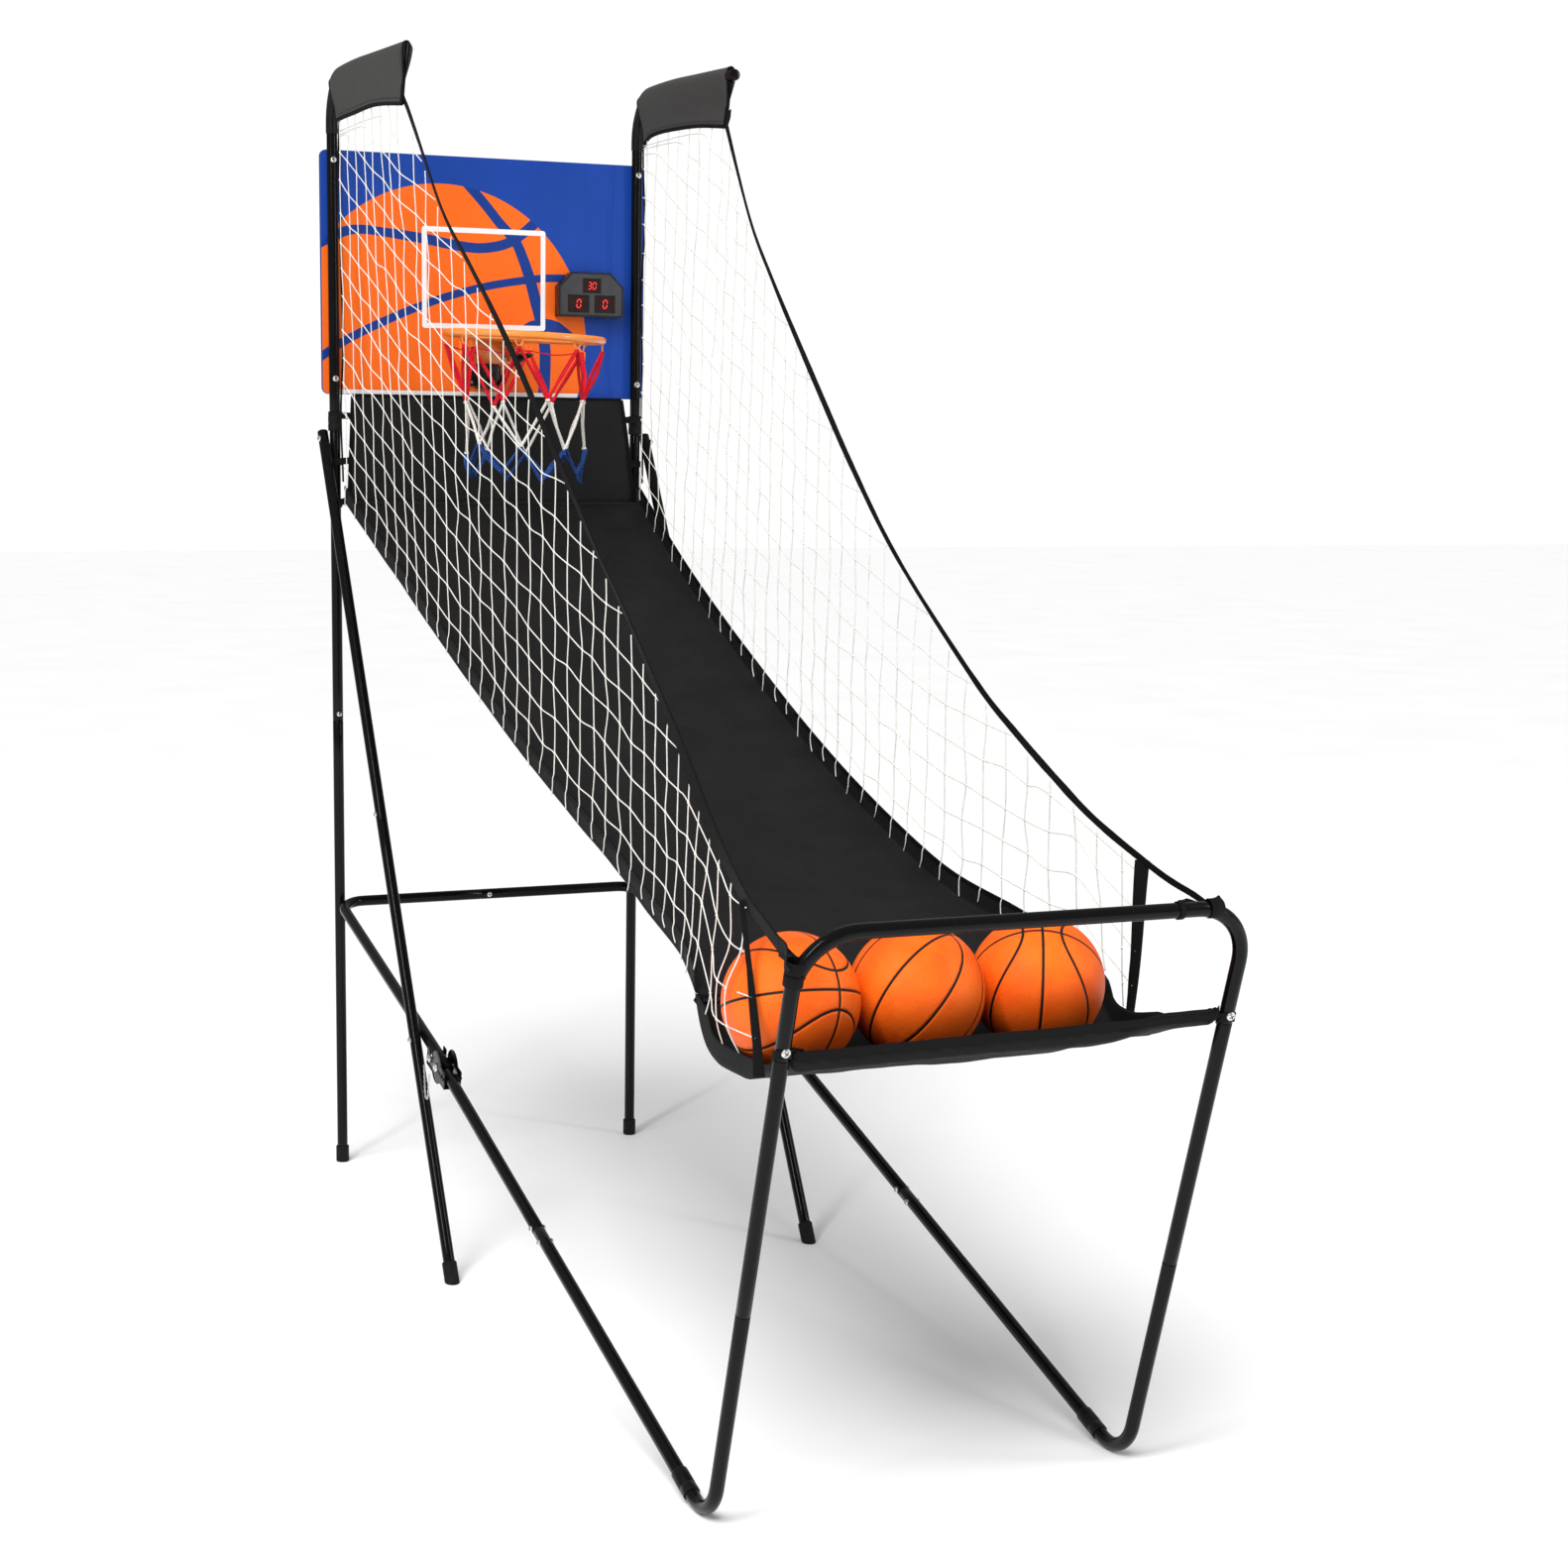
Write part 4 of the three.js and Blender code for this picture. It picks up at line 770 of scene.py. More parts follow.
COLLAR = [  # radius, height
    (9.4, 0), (11.4, 0), (12, 0.6), (12.2, 1.6), (12.2, 11.4), (11.8, 12),
    (11.8, 14), (12.2, 14.6), (12.2, 24.4), (12, 25.4), (11.4, 26), (9.4, 26)]
COUPLING = [  # radius, height
    (9.4, 0), (10.8, 0), (11.4, 0.6), (11.5, 1.8), (11.5, 14), (11.1, 14.6),
    (11.1, 15.6), (11.5, 16.2), (11.5, 43), (11.3, 44.4), (10.8, 45), (9.4, 45)]


def rear_frame():
    for label, sign in SIDES:
        x = sign * POST_X
        lower, upper = POST_JOINTS_Z
        frame_tube(f"post_lower_{label}", "rear_frame", [(x, POST_Y, 4), (x, POST_Y, lower)])
        frame_tube(f"post_middle_{label}", "rear_frame", [(x, POST_Y, lower + 0.3), (x, POST_Y, upper)])
        frame_tube(f"post_upper_{label}", "rear_frame",
                   [(x, POST_Y, upper + 0.3), (x, POST_Y, ARM_Z), (x, 1694, ARM_Z - 0.3), (x, *ARM_TIP)],
                   ARM_BEND_R)
        frame_tube(f"bend_sleeve_{label}", "rear_frame",
                   [(x, POST_Y, 1868), (x, POST_Y, ARM_Z), (x, 1715, ARM_Z)], ARM_BEND_R, 10.6,
                   SLEEVE, "black_plastic", 32, False)
        collar = Builder()
        collar.lathe(COLLAR, place(x, POST_Y, 1352), (0, 0, 1), 32)
        collar.piece(f"post_collar_{label}_rubber", RUBBER, 50, "rear_frame", "foot_rubber",
                     f"post_collar_{label}")
        joint = brace_at(sign, BRACE_JOINT_Z)
        axis = (Vector(BRACE_TOP) - Vector(BRACE_FOOT)).normalized()
        top = Vector(brace_at(sign, BRACE_TOP[2])) + Vector((0, axis.y, axis.z)) * 14
        frame_tube(f"brace_lower_{label}", "rear_frame", [brace_at(sign, 5), joint])
        frame_tube(f"brace_upper_{label}", "rear_frame", [brace_at(sign, BRACE_JOINT_Z + 0.5), tuple(top)])
        finish_piece(foot_cap(f"foot_cap_post_{label}", (x, POST_Y, 0), Vector((0, 0, 1))),
                     "rear_frame", "foot_rubber", f"foot_cap_post_{label}")
        lean = Vector(brace_at(sign, 100)) - Vector(brace_at(sign, 0))
        finish_piece(foot_cap(f"foot_cap_brace_{label}", brace_at(sign, 0), lean),
                     "rear_frame", "foot_rubber", f"foot_cap_brace_{label}")
        hinge = Vector((sign * REAR_BAR_X, HINGE_Y, on_side_bar(sign, HINGE_Y)[2]))
        corner = Vector((sign * REAR_BAR_X, REAR_BAR_Y, REAR_BAR_Z))
        end = hinge + (hinge - corner).normalized() * 12
        middle = REAR_BAR_JOINT_X + 0.15 * sign
        frame_tube(f"rear_bar_{label}", "rear_frame",
                   [(middle, REAR_BAR_Y, REAR_BAR_Z), tuple(corner), tuple(end)], REAR_BAR_BEND_R)


def on_side_bar(sign, y):
    tangent = (FLOOR_BEND_Y + FLOOR_BEND_R * math.sin(SIDE_RISE),
               FLOOR_BEND_R + TUBE_R - FLOOR_BEND_R * math.cos(SIDE_RISE))
    return (sign * FRONT_X, y, tangent[1] + (y - tangent[0]) * math.tan(SIDE_RISE))


def on_leg(sign, z):
    tangent = (FLOOR_BEND_Y - FLOOR_BEND_R * math.cos(LEG_LEAN),
               FLOOR_BEND_R + TUBE_R - FLOOR_BEND_R * math.sin(LEG_LEAN))
    return (sign * FRONT_X, tangent[0] - (z - tangent[1]) * math.tan(LEG_LEAN), z)


def front_frame():
    for label, sign in SIDES:
        frame_tube(f"side_bar_rear_{label}", "front_frame",
                   [on_side_bar(sign, 1086), on_side_bar(sign, SIDE_JOINT_Y + 0.3)])
        frame_tube(f"side_bar_front_{label}", "front_frame",
                   [on_side_bar(sign, SIDE_JOINT_Y), on_side_bar(sign, SIDE_END_Y + 0.3)])
        centre = Vector(on_side_bar(sign, SIDE_END_Y))
        slope = Vector((0, math.cos(SIDE_RISE), math.sin(SIDE_RISE)))
        coupling = Builder()
        coupling.lathe(COUPLING, place(*(centre - slope * 15)), slope, 32)
        coupling.piece(f"floor_coupling_{label}_sleeve", SLEEVE, 50, "front_frame", "black_plastic",
                       f"floor_coupling_{label}")
        low = line_crossing()
        frame_tube(f"floor_bend_{label}", "front_frame",
                   [on_side_bar(sign, SIDE_END_Y), (sign * FRONT_X, *low), on_leg(sign, LEG_JOINT_Z)],
                   FLOOR_BEND_R)
        frame_tube(f"front_leg_{label}", "front_frame",
                   [on_leg(sign, LEG_JOINT_Z + 0.3), on_leg(sign, LOOP_JOINT_Z)])
    corners = [on_leg(-1, LOOP_JOINT_Z + 0.3), on_leg(-1, LOOP_Z), on_leg(1, LOOP_Z),
               on_leg(1, LOOP_JOINT_Z + 0.3)]
    frame_tube("front_loop", "front_frame", corners, LOOP_BEND_R)


def line_crossing():
    """Where the side bar's line meets the leg's line, in y and z."""
    low, high = -60.0, 60.0
    for _ in range(60):
        y = (low + high) / 2
        z = on_side_bar(1, y)[2]
        low, high = (y, high) if on_leg(1, z)[1] > y else (low, y)
    return y, on_side_bar(1, y)[2]


rear_frame()
front_frame()

# ------------------------------------------------------------------ fold hinge and small hardware

SCREWS = {"rear_frame": (Builder(), Builder()), "front_frame": (Builder(), Builder())}


def screw(body, at, direction, radius=5.6):
    """A zinc pan-head screw with a cross-shaped hole, drawn as dark bars on its head: painted shade."""
    head, recess_shade = SCREWS[body]
    origin, axis = place(*at), Vector(direction).normalized()
    r = radius
    head.lathe([(r * 0.98, -1.2), (r, 0.3), (r * 0.97, 1.0), (r * 0.86, 1.8), (r * 0.62, 2.5),
                (r * 0.3, 2.85), (0.05, 2.9)], origin, axis, 20)
    side = axis.orthogonal().normalized()
    side = Quaternion(axis, random.uniform(0, 1.5)) @ side
    other = axis.cross(side)
    centre = origin + axis * 0.0027
    for a, b in ((side, other), (other, side)):
        recess_shade.bar(centre, a * (r * 0.55 / 1000), b * (r * 0.11 / 1000), axis * 0.00028)


def screws():
    for _, sign in SIDES:
        for z, radius in ((1823, 5.6), (1444, 5.6), (843, 4.8)):
            screw("rear_frame", (sign * POST_X, POST_Y - TUBE_R, z), (0, -1, 0), radius)
        for height, forward, radius in ((1338, 6, 5.6), (706, 0, 4.8), (356, 0, 5.6)):
            x, y, z = brace_at(sign, height)
            screw("rear_frame", (x + sign * TUBE_R, y - forward, z), (sign, 0, 0), radius)
        screw("rear_frame", (sign * 272, REAR_BAR_Y - TUBE_R, REAR_BAR_Z), (0, -1, 0), 5)
        for bar_y in (610, 645):
            x, y, z = on_side_bar(sign, bar_y)
            for side in (-1, 1):
                screw("front_frame", (x + side * TUBE_R, y, z), (side, 0, 0), 4.6)
        x, y, z = on_leg(sign, 645)
        screw("front_frame", (x, y - TUBE_R, z), (0, -1, -0.28), 6)
        for side in (-1, 1):
            screw("rear_frame", (-4 + side * 24, BOARD_FRONT_Y - 3.5, 1454.5 + side * 11.5), (0, -1, 0), 3.4)
        for z in (1511, 1489):
            screw("rear_frame", (sign * 34, BOARD_FRONT_Y - 3.3, z), (0, -1, 0), 5.4)
    screw("rear_frame", (-8, REAR_BAR_Y - TUBE_R, REAR_BAR_Z), (0, -1, 0), 4.8)
    for body, (heads, recess_shades) in SCREWS.items():
        heads.piece(f"screws_{body}", ZINC, 50, body, "zinc_fastener")
        # The dark crosses on the screw heads are painted shade.
        recess_shades.piece(f"screw_recess_shades_{body}", RECESS_SHADE, 30, body, "zinc_fastener")


def fold_hinges():
    inner, outer = 283.2 - 0.3, 311.8 + 0.3
    hinge = Vector((0, HINGE_Y, on_side_bar(1, HINGE_Y)[2]))
    arm = (Vector((0, REAR_BAR_Y, REAR_BAR_Z)) - hinge).normalized()
    for label, sign in SIDES:
        from_cad(f"fold_bracket_{label}", ENAMEL, "front_frame", "frame_tube", 0.5)
        bolt = Builder()
        bolt.lathe([(6.4, inner - 5), (7, inner - 4.4), (7, inner), (4, inner), (4, outer), (7.5, outer),
                    (7.5, outer + 1.2), (7.1, outer + 2.4), (5.9, outer + 3.4), (4.4, outer + 4),
                    (3.9, outer + 3), (0.1, outer + 3)],
                   place(*hinge), (sign, 0, 0), 28)
        bolt.piece(f"hinge_bolt_{label}_zinc", ZINC, 40, "rear_frame", "zinc_fastener", f"hinge_bolt_{label}")
        pin = Builder()
        pin.lathe([(1.4, inner - 3), (2, inner - 2.6), (3, inner - 1), (3, outer), (6.4, outer),
                   (7, outer + 0.5), (7, outer + 2.4), (6.4, outer + 3), (3, outer + 3.6),
                   (2.4, outer + 4.4), (3, outer + 5.2), (2.4, outer + 6), (0.1, outer + 6)],
                  place(*(hinge + arm * 34)), (sign, 0, 0), 28)
        pin.piece(f"lock_pin_{label}_zinc", ZINC, 40, f"lock_pin_{label}", "zinc_fastener",
                  f"lock_pin_{label}")


screws()
fold_hinges()

# ------------------------------------------------------------------ backboard and its print


def rounded_rectangle(half_width, low, high, corner, inset=0.0, steps=8):
    """Outline points (x, z), counter-clockwise seen from the front."""
    r = max(0.5, corner - inset)
    points = []
    for cx, cz, start in ((half_width - inset - r, low + inset + r, -90),
                          (half_width - inset - r, high - inset - r, 0),
                          (-half_width + inset + r, high - inset - r, 90),
                          (-half_width + inset + r, low + inset + r, 180)):
        for k in range(steps + 1):
            angle = math.radians(start + 90 * k / steps)
            points.append((cx + r * math.cos(angle), cz + r * math.sin(angle)))
    return points


def inside(point, polygon):
    x, z = point
    hit = False
    for (x0, z0), (x1, z1) in zip(polygon, polygon[1:] + polygon[:1]):
        if (z0 > z) != (z1 > z) and x < x0 + (z - z0) * (x1 - x0) / (z1 - z0):
            hit = not hit
    return hit


PRINTED_SEAMS = [  # x, z, width
    [(-330, 1672, 20), (-305, 1684, 18), (-263, 1703, 17), (-231, 1707, 16), (-194, 1704, 16),
     (-123, 1696, 18), (-52, 1685, 18), (-4, 1683, 18), (45, 1695, 18), (89, 1727, 19), (112, 1752, 20)],
    [(-52, 1812, 18), (-32, 1791, 18), (-3, 1761, 18), (25, 1729, 18), (55, 1698, 19), (70, 1668, 20),
     (84, 1630, 21), (95, 1592, 22), (105, 1556, 22), (113, 1512, 22), (114, 1480, 22), (112, 1434, 22),
     (106, 1400, 22)],
    [(-330, 1468, 15), (-308, 1484, 15), (-265, 1512, 15), (-195, 1547, 15), (-100, 1586, 14), (-4, 1614, 14),
     (94, 1631, 14), (143, 1634, 14), (180, 1634, 14)]]
LOW_SEAM = [  # outline of the crescent behind the ring, x, z
    (58, 1540), (84, 1555), (109, 1561), (127, 1559), (143, 1554), (168, 1536), (186, 1519),
    (203, 1500), (188, 1503), (176, 1514), (163, 1523), (139, 1532), (118, 1538), (95, 1540)]
PRINTED_BALL = (-84, 1515, 278)  # x, z, radius


def band(centre_line):
    """A smooth band of changing width as a closed outline."""
    line = spline([Vector(row) for row in centre_line], 7)
    left, right = [], []
    for i, p in enumerate(line):
        run = (line[min(i + 1, len(line) - 1)] - line[max(i - 1, 0)]).to_2d().normalized()
        normal = Vector((-run.y, run.x)) * p.z / 2
        left.append((p.x + normal.x, p.y + normal.y))
        right.append((p.x - normal.x, p.y - normal.y))
    return left + right[::-1]


def backboard():
    outline = rounded_rectangle(BOARD_HALF, BOARD_LOW, BOARD_HIGH, BOARD_CORNER, 0.9)
    ball_x, ball_z, ball_r = PRINTED_BALL
    turns = [2 * math.pi * k / 150 for k in range(150)]
    disc = [(ball_x + ball_r * math.cos(a), ball_z + ball_r * math.sin(a)) for a in turns]
    seams = [*(band(row) for row in PRINTED_SEAMS), LOW_SEAM]
    square = [(x - 4, z) for x, z in rounded_rectangle(118, 1538, 1717.5, 5)]
    hollow = [(x - 4, z) for x, z in rounded_rectangle(109, 1547, 1708.5, 2)]
    foot_line = [(-286, 1400), (192, 1400), (190, 1425.5), (-286, 1425.5)]
    vertices, edges = [], []
    for loop in (outline, disc, *seams, square, hollow, foot_line):
        base = len(vertices)
        vertices += [Vector(p) for p in loop]
        edges += [(base + k, base + (k + 1) % len(loop)) for k in range(len(loop))]
    flat, _, triangles, *_ = delaunay_2d_cdt(vertices, edges, [], 0, 1e-4, False)
    points = [place(p.x, BOARD_FRONT_Y, p.y) for p in flat]
    colours = [BOARD_BLUE, BOARD_ORANGE, SEAM_BLUE, BOARD_WHITE, BOARD_EDGE, board_back()]
    faces, slots = [], []
    for face in triangles:
        middle = tuple(sum((flat[k] for k in face), Vector((0, 0))) / len(face))
        if not inside(middle, outline):
            continue
        on_ball = inside(middle, disc)
        framed = inside(middle, square) and not inside(middle, hollow)
        if framed or (on_ball and inside(middle, foot_line)):
            colour = BOARD_WHITE
        elif on_ball:
            colour = SEAM_BLUE if any(inside(middle, seam) for seam in seams) else BOARD_ORANGE
        else:
            colour = BOARD_BLUE
        faces.append(tuple(face))
        slots.append(colours.index(colour))
    builder = Builder()
    rings = []
    thick = BOARD_THICKNESS
    for depth, inset in ((0, 0.9), (0.3, 0.35), (0.9, 0), (thick - 0.9, 0), (thick - 0.3, 0.35),
                         (thick, 0.9)):
        edge = rounded_rectangle(BOARD_HALF, BOARD_LOW, BOARD_HIGH, BOARD_CORNER, inset)
        rings.append([place(x, BOARD_FRONT_Y + depth, z) for x, z in edge])
    builder.skin(rings, caps=False)
    base = len(points)
    points += builder.vertices
    faces += [tuple(base + k for k in face) for face in builder.faces]
    slots += [colours.index(BOARD_EDGE)] * len(builder.faces)
    last = base + 5 * len(rings[0])
    faces.append(tuple(range(last, last + len(rings[0]))))
    slots.append(len(colours) - 1)
    obj = add_mesh("backboard_printed", points, faces, colours, None, True, slots)
    bm = bmesh.new()
    bm.from_mesh(obj.data)
    bmesh.ops.delete(bm, geom=[v for v in bm.verts if not v.link_faces], context="VERTS")
    bmesh.ops.remove_doubles(bm, verts=bm.verts, dist=1e-6)
    bmesh.ops.recalc_face_normals(bm, faces=bm.faces)
    for edge in bm.edges:
        edge.smooth = edge.calc_face_angle(0) < math.radians(25)
    bm.to_mesh(obj.data)
    bm.free()
    finish_piece(obj, "rear_frame", "board_panel", "backboard")


backboard()

# ------------------------------------------------------------------ scoreboard

FACE_Y = 1768.3
WINDOWS = [(196.5, 1621, 33, 24, "30"), (170.5, 1588.5, 39, 29, "0"), (222, 1588.5, 38, 29, "0")]
LIT = {"0": "adfbec", "3": "agdbc"}
SEGMENTS = {
    "a": ((0, 1), (1, 1)), "g": ((0, 0.5), (1, 0.5)), "d": ((0, 0), (1, 0)), "f": ((0, 0.5), (0, 1)),
    "b": ((1, 0.5), (1, 1)), "e": ((0, 0), (0, 0.5)), "c": ((1, 0), (1, 0.5))}


def seven_segments(builder, text, x, z, height):
    """Slanted seven-segment figures as small hexagonal bars."""
    width, gap, thick = height * 0.5, height * 0.26, height * 0.115
    start = x - (len(text) * (width + gap) - gap) / 2
    for index, figure in enumerate(text):
        left = start + index * (width + gap)
        for name in LIT[figure]:
            a, b = (Vector((left + u * width + 0.12 * height * v, z + (v - 0.5) * height))
                    for u, v in SEGMENTS[name])
            run = (b - a).normalized()
            a, b = a + run * 0.06 * height, b - run * 0.06 * height
            along_run, side = run * thick / 2, Vector((-run.y, run.x)) * thick / 2
            low, high = a + along_run, b - along_run
            outline = [a, low + side, high + side, b, high - side, low - side]
            rings = [[place(p.x, y, p.y) for p in outline] for y in (FACE_Y + 0.62, FACE_Y + 0.42)]
            builder.skin(rings)


def scoreboard():
    from_cad("scoreboard_housing", PLASTIC, "rear_frame", "black_plastic", 0.7)
    from_cad("scoreboard_face", FACE, "rear_frame", "score_face", 0.25)
    from_cad("battery_cover", PLASTIC, "battery_cover", "black_plastic", 0.3)
    from_cad("power_button", PLASTIC, "power_button", "black_plastic", 0.3)
    glass, frames, segments = Builder(), Builder(), Builder()
    for x, z, w, h, text in WINDOWS:
        u, v, lip = w / 2, h / 2, 1.4
        glass.block((x - u + 0.05, FACE_Y + 0.6, z - v + 0.05),
                    (x + u - 0.05, FACE_Y + 0.8, z + v - 0.05), 0.05)
        for x0, z0, x1, z1 in ((-u - lip, -v - lip, u + lip, -v), (-u - lip, v, u + lip, v + lip),
                               (-u - lip, -v, -u, v), (u, -v, u + lip, v)):
            frames.block((x + x0, FACE_Y - 0.5, z + z0), (x + x1, FACE_Y + 0.2, z + z1), 0.2)
        seven_segments(segments, text, x, z, h * 0.5)
    glass.piece("score_windows", window_glass(), 30, "rear_frame", "black_plastic")
    frames.piece("score_window_frames", PLASTIC, 30, "rear_frame", "black_plastic")
    segments.piece("score_figures", lit_segment(), 30, "rear_frame", "black_plastic")


scoreboard()

# ------------------------------------------------------------------ rim, hoop net and sensor


def ring_point(angle, radius=RIM_R, drop=0.0):
    """A point of the tilted ring. angle 0 is at the back, turning towards +x."""
    x, y, z = RIM_CENTRE
    dx, dy = radius * math.sin(angle), radius * math.cos(angle)
    return place(x + dx, y + dy, z + dy * math.sin(RIM_DROOP) - dx * math.sin(RIM_LEAN) - drop)


HOOKS = [math.radians(22.5 + 45 * k) for k in range(8)]


def rim():
    ring = Builder()
    ring.tube([ring_point(2 * math.pi * k / 128) for k in range(128)], RIM_TUBE_R / 1000, 24, closed=True)
    plate = Builder()
    back = BOARD_FRONT_Y - 0.3
    rings = []
    for y, inset in ((back - 3, 0.7), (back - 2.6, 0.2), (back - 2, 0), (back, 0)):
        rings.append([place(x, y, z) for x, z in rounded_rectangle(52, 1477, 1529, 6, inset, 5)])
    plate.skin(rings)
    shelf = [(-62, 1694.5), (62, 1694.5), (52, back - 1), (-52, back - 1)]
    edges = ((1518, 0.3), (1518.5, 0), (1520.5, 0), (1521, 0.3))
    plate.skin([[place(x * (1 - inset / 60), y, z) for x, y in shelf] for z, inset in edges])
    gusset = [(1716, 1519.5), (1728, 1511), (back - 30, 1497), (back - 12, 1481), (back - 1, 1481),
              (back - 1, 1519.5)]
    for left in (-44, 41):
        plate.skin([[place(x, y, z) for y, z in gusset] for x in (left, left + 0.4, left + 2.6, left + 3)])
    for part, name in ((ring, "rim_ring"), (plate, "rim_bracket")):
        part.piece(name, RIM_PAINT, 40, "rear_frame", "rim_paint", "rim")
    hooks = Builder()
    for angle in HOOKS:
        for side in (-1, 1):
            spread = side * 0.034
            loop = [ring_point(angle + spread * 1.4, RIM_R, 5), ring_point(angle + spread * 1.3, RIM_R, 11),
                    ring_point(angle + spread * 0.8, RIM_R, 17), ring_point(angle + spread * 0.1, RIM_R, 19)]
            hooks.tube(spline(loop, 5), 0.0013, 8)
        hooks.tube([ring_point(angle - 0.05, RIM_R, 6.2), ring_point(angle + 0.05, RIM_R, 6.2)], 0.0014, 8)
    hooks.piece("rim_hooks", RIM_PAINT, None, "rear_frame", "rim_paint")


def net_point(angle, z, swell=0.0):
    """A point on the hoop net's surface at a height, where angle 0 is at the back."""
    rows = smooth_rows(HOOP_NET, 4)
    r, dx, dy = (along(rows, z, c) for c in (1, 2, 3))
    x, y, _ = RIM_CENTRE
    return place(x + (r + swell) * math.sin(angle) + dx, y + (r + swell) * math.cos(angle) + dy, z)


def knot(builder, at, radius):
    """A small lump of cord, leaning a little."""
    shape = ((0.1, -1), (0.7, -0.72), (1, -0.1), (1.02, 0.25), (0.7, 0.8), (0.1, 1))
    lean = (random.uniform(-0.5, 0.5), random.uniform(-0.5, 0.5), 1)
    builder.lathe([(radius * s * 1000, h * 0.8 * radius * 1000) for s, h in shape], at, lean, 10)


def net_cord(builder, a, b, bow, radius=0.0026):
    """A cord between two points of the hoop net, bowed a little outwards."""
    middle = a.lerp(b, 0.5) + bow
    points = spline([a, a.lerp(middle, 0.55), middle, middle.lerp(b, 0.45), b], 4)
    builder.tube(points, radius, 10)


def hoop_net():
    step = math.radians(22.5)
    upper, middle, lower, knots_white, knots_blue = Builder(), Builder(), Builder(), Builder(), Builder()

    def shifted(angle, z, seed):
        rng = random.Random(seed)
        return net_point(angle + rng.uniform(-0.05, 0.05), z + rng.uniform(-9, 9), rng.uniform(-4, 4))
    hang = {k: ring_point(a, RIM_R - 1, 20) for k, a in enumerate(HOOKS)}
    first = {k: shifted(HOOKS[k] + step, 1402, 11 + k) for k in range(8)}
    second = {k: shifted(HOOKS[k], 1322, 31 + k) for k in range(8)}
    third = {k: shifted(HOOKS[k] + step, 1276, 51 + k) for k in range(8)}
    out = lambda p: (p - net_point(0, 1400).lerp(net_point(math.pi, 1400), 0.5)).to_2d().to_3d().normalized()
    for k in range(8):
        n = (k + 1) % 8
        for start, goal in ((hang[k], first[k]), (hang[n], first[k])):
            net_cord(upper, start, goal, out(goal) * random.uniform(-0.006, 0.002))
            net_cord(upper, start + out(start) * 0.003, goal + Vector((0, 0, 0.004)),
                     out(goal) * random.uniform(0.002, 0.006), 0.0022)
        for goal in (second[k], second[n]):
            net_cord(middle, first[k], goal, out(goal) * random.uniform(-0.007, 0.005))
        for start in (second[k], second[n]):
            net_cord(lower, start, third[k], out(start) * random.uniform(-0.006, 0.004), 0.0027)
            net_cord(lower, start + out(start) * 0.004, third[k] + Vector((0, 0, -0.003)),
                     out(start) * random.uniform(-0.002, 0.007), 0.0024)
        knot(knots_white, first[k], 0.0046)
        knot(knots_blue, second[k], 0.0046)
        tail = third[k]
        lower.tube(spline([tail, tail + Vector((0.003, 0.002, -0.004)),
                           tail + Vector((0.001, 0.004, -0.0045))], 4), 0.0021, 8)
    for a, b in ((7, 0), (0, 1), (6, 7)):
        mid = hang[a].lerp(hang[b], 0.5) + Vector((0, 0, -0.006))
        upper.tube(spline([hang[a], mid, hang[b]], 8), 0.0011, 8)
    upper.piece("hoop_net_red", RED_CORD, None, "rear_frame", "hoop_netting", "hoop_net")
    middle.piece("hoop_net_white", WHITE_CORD, None, "rear_frame", "hoop_netting")
    knots_white.piece("hoop_net_white_knots", WHITE_CORD, None, "rear_frame", "hoop_netting")
    lower.piece("hoop_net_blue", BLUE_CORD, None, "rear_frame", "hoop_netting")
    knots_blue.piece("hoop_net_blue_knots", WHITE_CORD, None, "rear_frame", "hoop_netting")


def sensor():
    from_cad("sensor_box", PLASTIC, "rear_frame", "black_plastic", 0.8)
    from_cad("sensor_paddle", PLASTIC, "sensor_paddle", "black_plastic", 0.5)
    flange = Builder()
    for x0, x1 in ((-35, -21.5), (13.5, 27)):
        flange.block((x0, BOARD_FRONT_Y - 3.4, 1436), (x1, BOARD_FRONT_Y - 0.1, 1473), 0.8)
    for z in (1440, 1449, 1458, 1467):
        flange.block((-18, 1761.4, z), (10, 1762.6, z + 1.4), 0.3)
    flange.piece("sensor_flange", PLASTIC, 30, "rear_frame", "black_plastic")


rim()
hoop_net()
sensor()

# ------------------------------------------------------------------ cloth: ramp, back panel, tray

RAMP_FINE = smooth_rows(RAMP)
STRAP_FINE = smooth_rows(TOP_STRAP)


def ripple(p, size, amount):
    """A soft uneven offset in metres, for cloth."""
    return noise.noise(p / size) * amount


def ramp_floor(x_share, y):
    """Height of the lane over its lower edge: it sags in the middle."""
    sag = 14 * math.sin(math.pi * min(1, max(0, (1740 - y) / 1642)))
    return -sag * (1 - x_share ** 2)


def stitches(builder, line, outward, length=0.0032, gap=0.0018, radius=0.00042):
    """Short raised stitches along a line of points. outward(point) is the direction they stand out."""
    carry = 0.0
    for a, b in zip(line, line[1:]):
        span = (b - a).length
        if span < 1e-6:
            continue
        run = (b - a) / span
        at = carry
        while at + length < span + 1e-6:
            p, q = a + run * at, a + run * (at + length)
            lift = outward(p) * radius * 0.6
            builder.tube([p, p + run * length * 0.15 + lift, q - run * length * 0.15 + lift, q],
                         [radius * 0.5, radius, radius, radius * 0.5], 5)
            at += length + gap
        carry = max(0.0, at - span)


